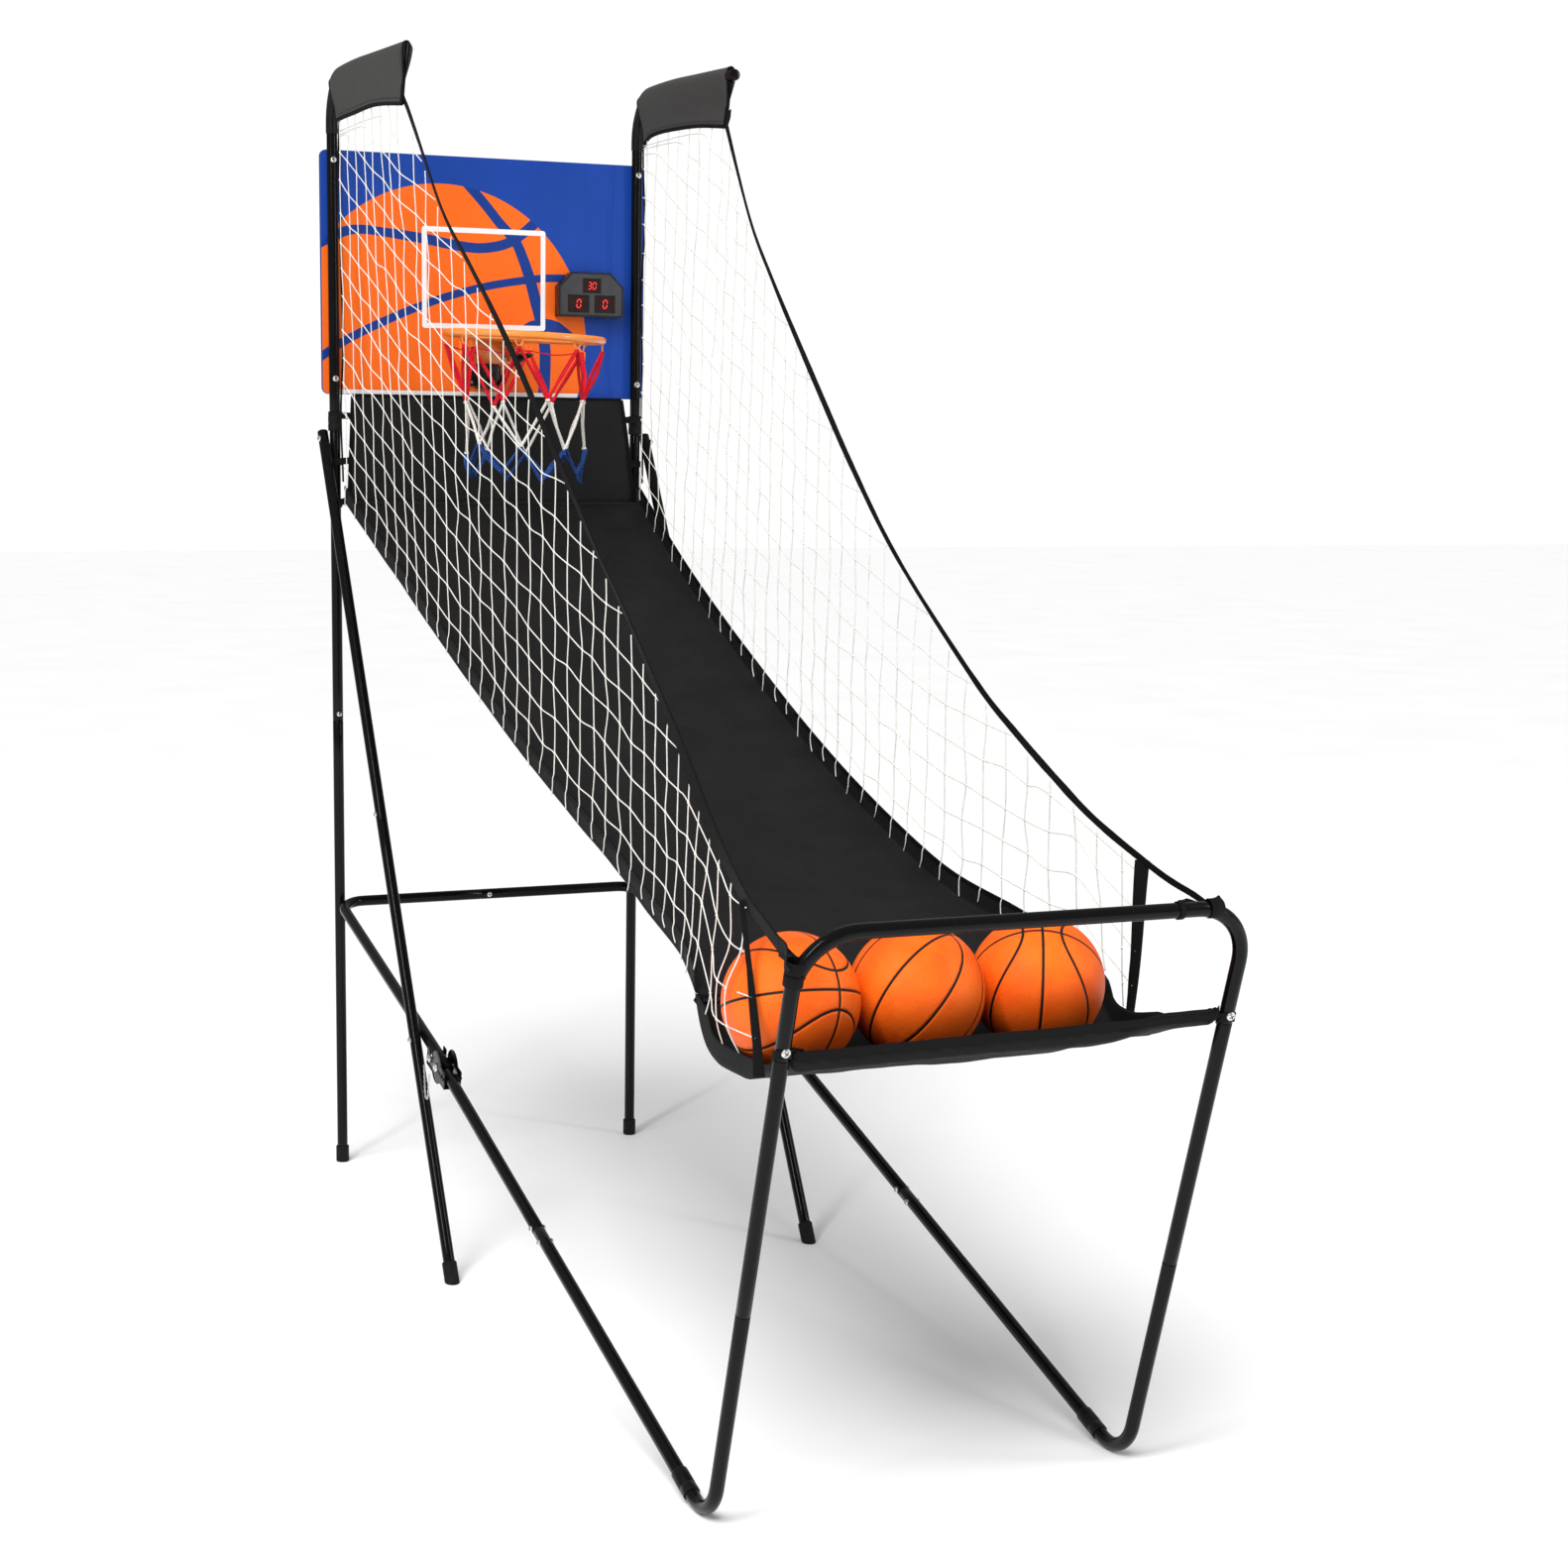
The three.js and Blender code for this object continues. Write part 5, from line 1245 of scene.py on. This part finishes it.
def ramp():
    grid = []
    rows = 110
    seams = {(-1, 6): [], (-1, 24): [], (1, 6): [], (1, 24): []}
    for i in range(rows + 1):
        y = lerp(1740, 98, i / rows)
        half, z = along(RAMP_FINE, y, 1) - 1, along(RAMP_FINE, y, 2) + 1
        row = []
        for dz in (HEM - 1, 26, 20, 14, 8, 4):
            row.append((-half, dz))
        row += [(-half + 0.8, 1.6), (-half + 2.6, 0.4)]
        for k in range(31):
            share = lerp(-1, 1, k / 30)
            row.append((share * (half - 6), ramp_floor(share, y)))
        row += [(half - 2.6, 0.4), (half - 0.8, 1.6)]
        for dz in (4, 8, 14, 20, 26, HEM - 1):
            row.append((half, dz))
        line = []
        for x, dz in row:
            p = place(x, y, z + dz)
            flat = max(0.0, 1 - (x / half) ** 2)
            p.z += ripple(p, 0.17, 0.0035) * flat + ripple(p + Vector((3, 0, 0)), 0.05, 0.0012) * flat
            p.x += ripple(p + Vector((0, 5, 0)), 0.09, 0.0012) * (1 - flat)
            line.append(p)
        grid.append(line)
        for (side, height), seam in seams.items():
            seam.append(place(side * (half + 0.9), y, z + height))
    obj = sheet_mesh("ramp_cloth", grid, 0.0014, LANE)
    thread = Builder()
    for (side, _), seam in seams.items():
        stitches(thread, seam, lambda p, s=side: Vector((s, 0, 0)))
    sewn = thread.make("ramp_stitching", THREAD)
    tape = Builder()
    for sign in (-1, 1):
        edge = []
        for i in range(rows + 1):
            y = lerp(1740, 98, i / rows)
            edge.append(place(sign * (along(RAMP_FINE, y, 1) - 1), y, along(RAMP_FINE, y, 2) + HEM - 1.5))
        tape.ribbon(edge, 0.006, 0.0026, facing(0, 0, 1))
    binding = tape.make("ramp_binding", BINDING, 60)
    lap = Builder()  # strips sewn over the joins with the tray and the back panel
    lap.ribbon([p + Vector((0, -0.005, -0.003)) for p in grid[-1][8:-8]], 0.024, 0.0024, facing(0, 1, 0.62))
    lap.ribbon([p + Vector((0, 0.0015, 0.0015)) for p in grid[0][8:-8]], 0.014, 0.0024, facing(0, 1, 1))
    laps = lap.make("ramp_laps", LANE, 60)
    for piece in (obj, sewn, binding, laps):
        across_joint(piece, "lane_cloth")
    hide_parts("ramp")


def back_panel():
    grid = []
    for i in range(15):
        v = i / 14
        row = []
        for j in range(41):
            u = j / 40
            half = lerp(275, 258, v)
            p = place(lerp(-half, half, u), lerp(1743, 1773, v), lerp(1222, 1414.5, v))
            p.y += ripple(p, 0.11, 0.004) * math.sin(math.pi * v) + ripple(p + Vector((7, 0, 0)), 0.04, 0.001)
            row.append(p)
        grid.append(row)
    obj = sheet_mesh("back_panel_cloth", grid, 0.0014, LANE)
    tape = Builder()
    for line in (grid[-1], [row[0] for row in grid], [row[-1] for row in grid]):
        tape.ribbon(line, 0.007, 0.0026, lambda i, t: Vector((0, -0.1, 1)) if abs(t.x) > 0.5
                    else Vector((1, 0, 0)))
    binding = tape.piece("back_panel_binding", BINDING, 60, "rear_frame", "lane_cloth")
    finish_piece(obj, "rear_frame", "lane_cloth", "back_panel")
    ties = Builder()
    for _, sign in SIDES:
        for z, drop in ((1378, 2), (1300, -3), (1232, -10)):
            t = (z - 1222) / 192.5
            start = place(sign * (lerp(275, 258, t) - 4), lerp(1743, 1773, t), z)
            around = [start, place(sign * (POST_X - 11.5), POST_Y - 14, z + drop * 0.5)]
            for degrees in range(-60, 241, 20):
                angle = math.radians(degrees) if sign > 0 else math.radians(180 - degrees)
                around.append(place(sign * POST_X + 11.2 * math.cos(angle), POST_Y + 11.2 * math.sin(angle),
                                    z + drop))
            ties.ribbon(around, 0.012, 0.0014, facing(0, 0, 1))
    ties.piece("rear_ties", WEBBING, 60, "rear_frame", "webbing")


def tray_top(y):
    return along(TRAY_SIDE_TOP_FINE, y, 1)


TRAY_SIDE_TOP_FINE = smooth_rows([(y, z, 0) for y, z in TRAY_SIDE_TOP], 5)


def rise_at_right(x):
    """The cloth lifts off its low line beyond the last ball, where nothing weighs on it."""
    return smooth_step((x - 120) / 100)


def gathers(x, z):
    """Slanting gathers in the tray's low front wall, in metres."""
    fold = math.sin((x + 0.9 * z) / 5.2 + 2.2 * noise.noise(Vector((x / 40, 3, 1))))
    strength = 0.6 + 0.4 * noise.noise(Vector((x / 60, 1, 7)))
    return 0.0018 * fold * min(1.0, max(0.0, (645 - z) / 12)) * strength


def tray():
    profile = spline([Vector((y, z, 0)) for y, z in TRAY_PROFILE], 6)
    grid, half = [], 287.4
    for p in profile:
        y, z = p.x, p.y
        top = max(z + 1, tray_top(y))
        row = []
        for k in range(7):
            row.append((-half, y, lerp(top, z + 9, k / 6)))
        row += [(-half + 1.2, y, z + 5), (-half + 4, y, z + 1.6)]
        for k in range(121):
            row.append((lerp(-half + 9, half - 9, k / 120), y, z))
        row += [(half - 4, y, z + 1.6), (half - 1.2, y, z + 5)]
        for k in range(7):
            row.append((half, y, lerp(z + 9, top, k / 6)))
        line = []
        for x, yy, zz in row:
            q = place(x, yy, zz)
            wall = min(1.0, max(0.0, (yy + 195) / -8))
            flat = max(0.0, 1 - (x / half) ** 6)
            waves = ripple(q, 0.09, 0.003) + ripple(q + Vector((9, 0, 0)), 0.035, 0.0012)
            q.z += waves * flat * (1 - 0.7 * wall)
            on_floor = min(1, max(0, (-10 - yy) / 60)) * (1 if zz < 640 else 0)
            q.z += 0.001 * (lerp(-3, 3.5, (x + half) / (2 * half)) * wall + 13 * rise_at_right(x) * on_floor)
            q.y += gathers(x, zz) * wall + ripple(q + Vector((4, 2, 0)), 0.06, 0.0015) * flat * 0.5
            q.x += ripple(q + Vector((1, 7, 0)), 0.05, 0.0016) * (1 - flat)
            line.append(q)
        grid.append(line)
    obj = sheet_mesh("tray_cloth", grid, 0.0016, LANE)
    front = [p + Vector((0, -0.0008, -0.004)) for p in grid[0][7:-7]]
    band_piece, thread = Builder(), Builder()
    band_piece.ribbon(front, 0.010, 0.0036, facing(0, 0.04, -1))
    rear = [p + Vector((0, 0.001, 0.001)) for p in grid[-1][7:-7]]
    band_piece.ribbon(rear, 0.014, 0.003, facing(0, 0.4, 1))
    stitches(thread, [p + Vector((0, -0.0018, -0.0035)) for p in front], lambda p: Vector((0, -1, 0)), 0.005,
             0.003, 0.0006)
    binding = band_piece.piece("tray_band", WEBBING, 60, "front_frame", "webbing")
    sewn = thread.piece("tray_stitching", THREAD, None, "front_frame", "lane_cloth")
    finish_piece(obj, "front_frame", "lane_cloth", "tray")
    loops = Builder()
    for _, sign in SIDES:
        x, y, z = on_leg(sign, 641)
        start = place(sign * 274, -206, 641)
        around = [start, place(x - sign * 10.5, y + 12, z + 1)]
        for degrees in range(-50, 231, 20):
            angle = math.radians(degrees) if sign > 0 else math.radians(180 - degrees)
            around.append(place(x + 10.8 * math.cos(angle), y - 10.8 * math.sin(angle),
                                z + 3 * math.sin(angle)))
        loops.ribbon(around, 0.012, 0.0018, facing(0, -0.28, 1))
    loops.piece("tray_leg_loops", WEBBING, 60, "front_frame", "webbing")


ramp()
back_panel()
tray()

# ------------------------------------------------------------------ flags and straps

def flag(label, sign):
    """Cloth folded over the arm and sewn together just under it. Both layers hang from there as one."""
    top, low = FLAGS[label]
    tops = spline([Vector((y, z, 0)) for y, z in top], 7)
    lows = spline([Vector((y, z, 0)) for y, z in low], 7)
    grid = []
    nose = ((1, 0.93), (2, 0.75), (3, 0.45), (4, 0.14))  # the fold closes past the arm's end
    stations = [(t, l, 1.0) for t, l in zip(tops, lows)]
    stations += [(tops[-1] - Vector((ahead, 0, 0)), lows[-1] - Vector((ahead * 0.6, 0, 0)), fold)
                 for ahead, fold in nose]
    rows = (1, 0.88, 0.76, 0.64, 0.52, 0.41, 0.31, 0.22, 0.14, 0.07)  # shares of the flag's depth
    for t, l, fold in stations:
        crown = t.y - 11.6 * fold
        depths = [(crown - l.y - 0.5) * share for share in rows]
        side = []
        for depth in depths:
            near = smooth_step(depth / min(62, depths[0]))
            side.append((max(1.2, lerp(11.4, 1.2, near) * fold), crown - depth))
        outline = side + [(11.6 * fold * math.cos(math.radians(a)),
                           crown + 11.6 * fold * math.sin(math.radians(a))) for a in range(0, 181, 12)]
        outline += [(-x, z) for x, z in reversed(side)]
        line = []
        for dx, z in outline:
            share = min(1, max(0, (crown - z) / (crown - l.y)))
            p = place(sign * POST_X + dx, lerp(t.x, l.x, share), z)
            wave = place(sign * POST_X, lerp(t.x, l.x, share), z)
            p.x += (ripple(wave, 0.12, 0.003) + ripple(wave + Vector((0, 0, 4)), 0.04, 0.0008)) * share
            line.append(p)
        grid.append(line)
    obj = sheet_mesh(f"flag_{label}_cloth", grid, 0.0012, FLAG)
    tape, thread = Builder(), Builder()
    for line, width in ((grid[-2], 0.0075), (grid[0], 0.003)):
        tape.ribbon(line, width, 0.0026, lambda i, t: Vector((0, 1, 0)) if abs(t.y) < 0.8
                    else Vector((0, 0, 1)))
    tape.ribbon([row[0].lerp(row[-1], 0.5) + Vector((0, 0, 0.001)) for row in grid], 0.006, 0.0042,
                facing(0, 0, 1))
    for column, out in ((1, 1), (-2, -1)):
        edge = [row[column] + Vector((0.0007 * out, 0, 0)) for row in grid]
        stitches(thread, edge, lambda p, o=out: Vector((o, 0, 0)), 0.003, 0.002)
    binding = tape.piece(f"flag_{label}_binding", BINDING, 60, "rear_frame", "webbing")
    sewn = thread.piece(f"flag_{label}_stitching", THREAD, None, "rear_frame", "flag_cloth")
    finish_piece(obj, "rear_frame", "flag_cloth", f"flag_{label}")


def strap_points(sign, front=-206):
    points = [place(sign * 288.6, 1352, 1892), place(sign * 286, 1348.5, 1878)]
    points += [place(sign * along(STRAP_FINE, y, 1), y, along(STRAP_FINE, y, 2))
               for y in range(1345, front - 1, -12)]
    for p in points:
        p.x += ripple(p, 0.2, 0.0016)
    return points


# share of the left strap's run still ahead, width in mm
BREADTHS = [(1.0, 8.5), (0.4, 11.5), (0.2, 19), (0.0, 23)]


def top_strap(label, sign):
    """Webbing from the flag's front corner to the front loop, where it wraps the tube."""
    main = Builder()
    points = strap_points(sign)
    twist = lambda i, t: Vector((0, -t.z, t.y)) + Vector((0.25 * math.sin(i * 0.11), 0, 0))
    widths = []
    for i, p in enumerate(points):
        share = i / (len(points) - 1)
        broad = along(BREADTHS, 1 - share, 1) if sign < 0 else 8.5
        broad += 3 * max(0.0, 1 - share / 0.08)
        widths.append(broad / 1000 * (1 + 0.12 * noise.noise(p / 0.03)))
    main.ribbon(points, widths, 0.0017, twist)
    obj = main.make(f"top_strap_{label}_webbing", WEBBING, 60)
    edge = Builder()
    for side in (-0.48, 0.48):
        line = []
        for i, (t, _, _) in enumerate(frames_along(points)):
            across = twist(i, t)
            across = (across - t * across.dot(t)).normalized()
            line.append(points[i] + across * side * widths[i])
        edge.tube(line, 0.0011, 6)
    edges = edge.make(f"top_strap_{label}_edges", BINDING)
    for piece in (obj, edges):
        across_joint(piece, "webbing")
    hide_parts(f"top_strap_{label}")
    wrap = Builder()
    end = points[-1]
    if sign < 0:
        x, y, z = on_leg(-1, 742)
        axis = (Vector(on_leg(-1, 760)) - Vector(on_leg(-1, 700))).normalized()
        for lift in (-7, 7):
            centre = place(x, y, z) + axis * lift / 1000
            wrap_ring(wrap, centre, axis, 11.2, 0.018)
        wrap.ribbon(spline([end + Vector((0, 0.02, 0.004)), end, place(x + 10, y + 8, z + 6),
                            place(x + 11, y - 4, z)], 5), 0.020, 0.0018, twist)
        wrap.ribbon(spline([end + Vector((0, 0.025, 0.01)), place(x - 4, y + 14, 766),
                            place(x - 10.8, y + 1, 752), place(x - 9, y - 7, 744)], 5), 0.016, 0.0018, twist)
    else:
        centre = place(247, -243.84, LOOP_Z)
        wrap_ring(wrap, centre, Vector((1, 0, 0)), 11.2, 0.018)
        wrap.ribbon(spline([end + Vector((0, 0.03, 0.011)), place(272, -218, 776), place(252, -234, 796),
                            place(247, -243, 799)], 5), 0.018, 0.0018, facing(1, 0.3, 0))
        wrap_ring(wrap, place(198, -243.84, LOOP_Z), Vector((1, 0, 0)), 10.3, 0.007)
        wrap.ribbon(spline([end + Vector((0, 0.03, 0.009)), place(258, -214, 782), place(214, -232, 797),
                            place(200, -243, 798.6)], 5), 0.007, 0.0016, facing(1, 0.3, 0))
    wrap.piece(f"top_strap_{label}_wrap", WEBBING, 60, "front_frame", "webbing")


def wrap_ring(builder, centre, axis, radius, width):
    """A band of webbing right round a tube."""
    side = axis.orthogonal().normalized()
    other = axis.cross(side)
    rings, uvs, steps = [], [], 36
    for k in range(steps):
        angle = 2 * math.pi * k / steps
        out = side * math.cos(angle) + other * math.sin(angle)
        ring = []
        for w, t in ((-1, 0), (-0.9, 1), (0.9, 1), (1, 0), (0.9, -0.6), (-0.9, -0.6)):
            ring.append(centre + axis * (w * width / 2) + out * (radius / 1000 + t * 0.0009))
        rings.append(ring)
        uvs.append([((w + 1) * width / 2, angle * radius / 1000) for w in (-1, -0.9, 0.9, 1, 0.9, -0.9)])
    builder.skin(rings, uvs, closed=True)


def on_front_strap(label, z):
    """The upright strap's middle at a height."""
    foot, top = (Vector(p) for p in FRONT_STRAPS[label])
    return place(*foot.lerp(top, (z - foot.z) / (top.z - foot.z)))


def front_strap(label):
    """Upright webbing between the tray's corner and the top strap. It narrows and twists on its way up."""
    builder = Builder()
    points, widths = [], []
    for k in range(25):
        t = k / 24
        points.append(on_front_strap(label, lerp(600, FRONT_STRAPS[label][1][2], t))
                      + Vector((0.0015 * math.sin(5 * t), 0, 0)))
        widths.append(0.0045 + 0.0095 * (1 - t) ** 2 + 0.004 * t ** 3 if label == "left"
                      else lerp(0.011, 0.019, t))
    builder.ribbon(points, widths, 0.0018, facing(0.86, -0.5, 0))
    obj = builder.make(f"front_strap_{label}_webbing", WEBBING, 60)
    finish_piece(obj, "front_frame", "webbing", f"front_strap_{label}")


for side_label, side_sign in SIDES:
    flag(side_label, side_sign)
    top_strap(side_label, side_sign)
    front_strap(side_label)

# ------------------------------------------------------------------ side nets


def net_top(label, y):
    """Half width and height of the net's upper edge."""
    if y < TOP_STRAP[0][0]:
        slope = (along(STRAP_FINE, y + 20, 2) - along(STRAP_FINE, y - 20, 2)) / 40
        return along(STRAP_FINE, y, 1), along(STRAP_FINE, y, 2) - 9 * math.hypot(1, slope)
    low = [*FLAGS[label][1], (1300, 1855)]
    return POST_X, along(low, y, 1) - 1


def net_bottom(y):
    """Half width and height of the net's lower edge, on the ramp's hem or the tray's side."""
    if y < 60:
        return 288, tray_top(y) + 1
    hem = (along(RAMP_FINE, max(y, 98), 1) - 1, along(RAMP_FINE, max(y, 98), 2) + HEM)
    if y < 98:
        t = (y - 60) / 38
        return lerp(288, hem[0], t), lerp(tray_top(60) + 1, hem[1], t)
    return hem


def net_at(label, sign, y, height):
    """A point of the net at a height over its lower edge."""
    (low_x, low_z), (high_x, high_z) = net_bottom(y), net_top(label, y)
    z = low_z + height
    t = min(1, max(0, height / max(1, high_z - low_z)))
    bulge = 0
    if sign < 0:
        bulge = 22 * max(0, 1 - ((math.hypot(y - BALL_Y, z - BALL_Z)) / 70) ** 2)
    return place(sign * (lerp(low_x, high_x, t) + bulge), y, z)


def side_net(label, sign):
    cords, knots = Builder(), Builder()
    rng = random.Random(5 if sign < 0 else 9)
    front, rear = NET_FRONT[label], 1731
    columns = int((rear - front) / NET_PITCH)
    pitch = (rear - front) / columns
    nodes = {}
    for k in range(columns + 1):
        y = rear - k * pitch
        height = net_top(label, y)[1] - net_bottom(y)[1]
        level = 0
        while True:
            h = 30 + NET_PITCH * level
            if h > height - 12:
                break
            freedom = 0.35 if k in (0, columns) else 1
            p = net_at(label, sign, y + rng.uniform(-4, 4) * freedom, h + rng.uniform(-4.5, 4.5))
            p.x += rng.uniform(-0.0015, 0.0015)
            nodes[k, level] = p
            knot(knots, p, 0.0019)
            level += 1
        top = net_at(label, sign, y, height + 1)
        if level == 0:
            continue
        column = [nodes[k, j] for j in range(level)]
        low_x, low_z = net_bottom(y)
        foot = place(sign * (low_x + 1.6), y + rng.uniform(-3, 3), low_z)
        line = [foot, *column, top]
        if y > 110:
            reach = rng.uniform(18, 32)
            curl = rng.uniform(-9, 9)
            # the tails hang on the side of the hem that faces the player's left
            shown = 1 if sign < 0 else -1
            line = [place(sign * (low_x + 2.6 * shown), y + curl, low_z - reach),
                    place(sign * (low_x + 2.8 * shown), y + curl * 0.2, low_z - reach * 0.55),
                    place(sign * (low_x + 2.6 * shown), y, low_z - 3),
                    place(sign * (low_x + 1.0 * shown), y, low_z + 3), *line[1:]]
        cords.tube(spline(line, 5), 0.0009, 6)
    levels = max(j for _, j in nodes) + 1
    for j in range(levels):
        run = [nodes[k, j] for k in range(columns + 1) if (k, j) in nodes]
        last = max(k for k in range(columns + 1) if (k, j) in nodes)
        if len(run) < 2:
            continue
        if last < columns:
            rise = (run[-1].z - run[-2].z) * 1000
            for k in range(1, 31):
                y = rear - (last + k / 24) * pitch
                x, z = net_top(label, y)
                if z <= run[-1].z * 1000 + rise * k / 24:
                    break
            run.append(place(sign * x, y, z + 1))
        else:
            run[-1] = on_front_strap(label, run[-1].z * 1000 + rng.uniform(-3, 1))
        run.insert(0, place(sign * (POST_X - 4), 1741, run[0].z * 1000 + 4))
        cords.tube(spline(run, 5), 0.0009, 6)
    net = cords.make(f"side_net_{label}_cords", NET_CORD)
    tied = knots.make(f"side_net_{label}_knots", NET_CORD)
    for piece in (net, tied):
        across_joint(piece, "side_netting")
    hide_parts(f"side_net_{label}")
    cord = Builder()
    line = []
    top_z = FLAGS[label][1][0][1]
    for k in range(29):
        t = k / 28
        z = lerp(top_z, 1262, t)
        line.append(place(sign * (POST_X - 3 + 2 * math.sin(9 * t)), 1741 + 4 * math.sin(17 * t + 0.6), z))
    cord.tube(spline(line, 3), 0.0018, 8)
    cord.piece(f"net_rear_cord_{label}", BINDING, None, "rear_frame", "webbing")
    edge = Builder()
    line = [on_front_strap(label, lerp(618, 790, k / 16)) + Vector((0, 0.006 + 0.002 * math.sin(k * 0.4), 0))
            for k in range(17)]
    edge.tube(spline(line, 3), 0.0016, 8)
    edge.piece(f"net_front_cord_{label}", BINDING, None, "front_frame", "webbing")


for side_label, side_sign in SIDES:
    side_net(side_label, side_sign)

# ------------------------------------------------------------------ balls

# Directions of each ball's own x and y axes as the player's camera sees them: right, up, towards it.
BALL_AXES = {
    "left": ((-0.11, 0.985, -0.14), (0.69, 0.10, 0.72)),
    "middle": ((-0.30, 0.211, 0.93), (0.576, 0.818, 0.0)),
    "right": ((1.0, 0.0, -0.09), (0.0, 0.766, 0.643))}


def ball(label):
    """A ball with recessed channels, at its own turn, and a small valve."""
    bm = bmesh.new()
    bmesh.ops.create_icosphere(bm, subdivisions=6, radius=BALL_R / 1000)
    r = BALL_R / 1000
    for vertex in bm.verts:
        x, _, z = vertex.co / r
        bow = abs(abs(x) - SEAM_GAP - SEAM_BOW * z * z) / math.sqrt(1 + 4 * SEAM_BOW ** 2 * z * z)
        channel = min(abs(x), abs(z), bow)
        if channel < 0.036:
            vertex.co *= 1 - 0.009 * (1 - channel / 0.036) ** 2
    mesh = bpy.data.meshes.new(f"ball_{label}_cover")
    bm.to_mesh(mesh)
    bm.free()
    for polygon in mesh.polygons:
        polygon.use_smooth = True
    mesh.materials.append(BALL)
    obj = bpy.data.objects.new(f"ball_{label}_cover", mesh)
    bpy.context.scene.collection.objects.link(obj)
    centre = place(BALL_X[label], BALL_Y, BALL_Z)
    towards = (CAMERA_AT - centre).normalized()
    right = Vector((0, 0, 1)).cross(towards).normalized()
    view = (right, towards.cross(right), towards)
    own_x, own_y = (sum((axis * share for axis, share in zip(view, shares)), Vector()).normalized()
                    for shares in BALL_AXES[label])
    own_z = own_x.cross(own_y).normalized()
    spin = Matrix((own_x, own_z.cross(own_x), own_z)).transposed().to_4x4()
    obj.matrix_world = Matrix.Translation(centre) @ spin
    finish_piece(obj, f"ball_{label}", "ball_rubber", f"ball_{label}")


for ball_label in BALL_X:
    ball(ball_label)

# ------------------------------------------------------------------ floor and lights


def stage():
    n = Nodes("studio_floor")
    material = n.done(n.mix(n.noise(0.7, 2), (0.93, 0.93, 0.93), (0.95, 0.95, 0.95)),
                      n.between(n.noise(2, 2), 0.3, 0.7, 0.5, 0.6))
    size = 30
    floor = add_mesh("studio_floor", [(-size, -size, -0.0003), (size, -size, -0.0003), (size, size, -0.0003),
                                      (-size, size, -0.0003)],
                     [(0, 1, 2, 3)], material)
    world = bpy.data.worlds.new("studio")
    world.use_nodes = True
    tree = world.node_tree
    background = tree.nodes["Background"]
    backdrop = tree.nodes.new("ShaderNodeMapRange")
    backdrop.inputs["To Min"].default_value = 0.34
    backdrop.inputs["To Max"].default_value = 1.02
    tree.links.new(tree.nodes.new("ShaderNodeLightPath").outputs["Is Camera Ray"], backdrop.inputs["Value"])
    tree.links.new(backdrop.outputs[0], background.inputs["Strength"])
    background.inputs["Color"].default_value = (1, 1, 1, 1)
    bpy.context.scene.world = world


def area_light(name, at, aim, size, power):
    data = bpy.data.lights.new(name, "AREA")
    data.shape = "RECTANGLE"
    data.size, data.size_y = size
    data.energy = power
    light = bpy.data.objects.new(name, data)
    bpy.context.scene.collection.objects.link(light)
    light.location = at
    light.rotation_euler = (Vector(aim) - Vector(at)).to_track_quat("-Z", "Y").to_euler()


def sun_light():
    data = bpy.data.lights.new("sun", "SUN")
    data.energy = 3.15
    data.angle = math.radians(38)
    light = bpy.data.objects.new("sun", data)
    light.visible_glossy = False
    bpy.context.scene.collection.objects.link(light)
    light.rotation_euler = Vector((0.42, 0.5, -1)).to_track_quat("-Z", "Y").to_euler()


stage()
sun_light()
area_light("key", (-3.2, -2.4, 3.6), (0, 0, 0.9), (0.32, 2.6), 80)
area_light("fill", (3.6, -3.0, 2.6), (0, 0, 0.8), (0.28, 2.6), 46)
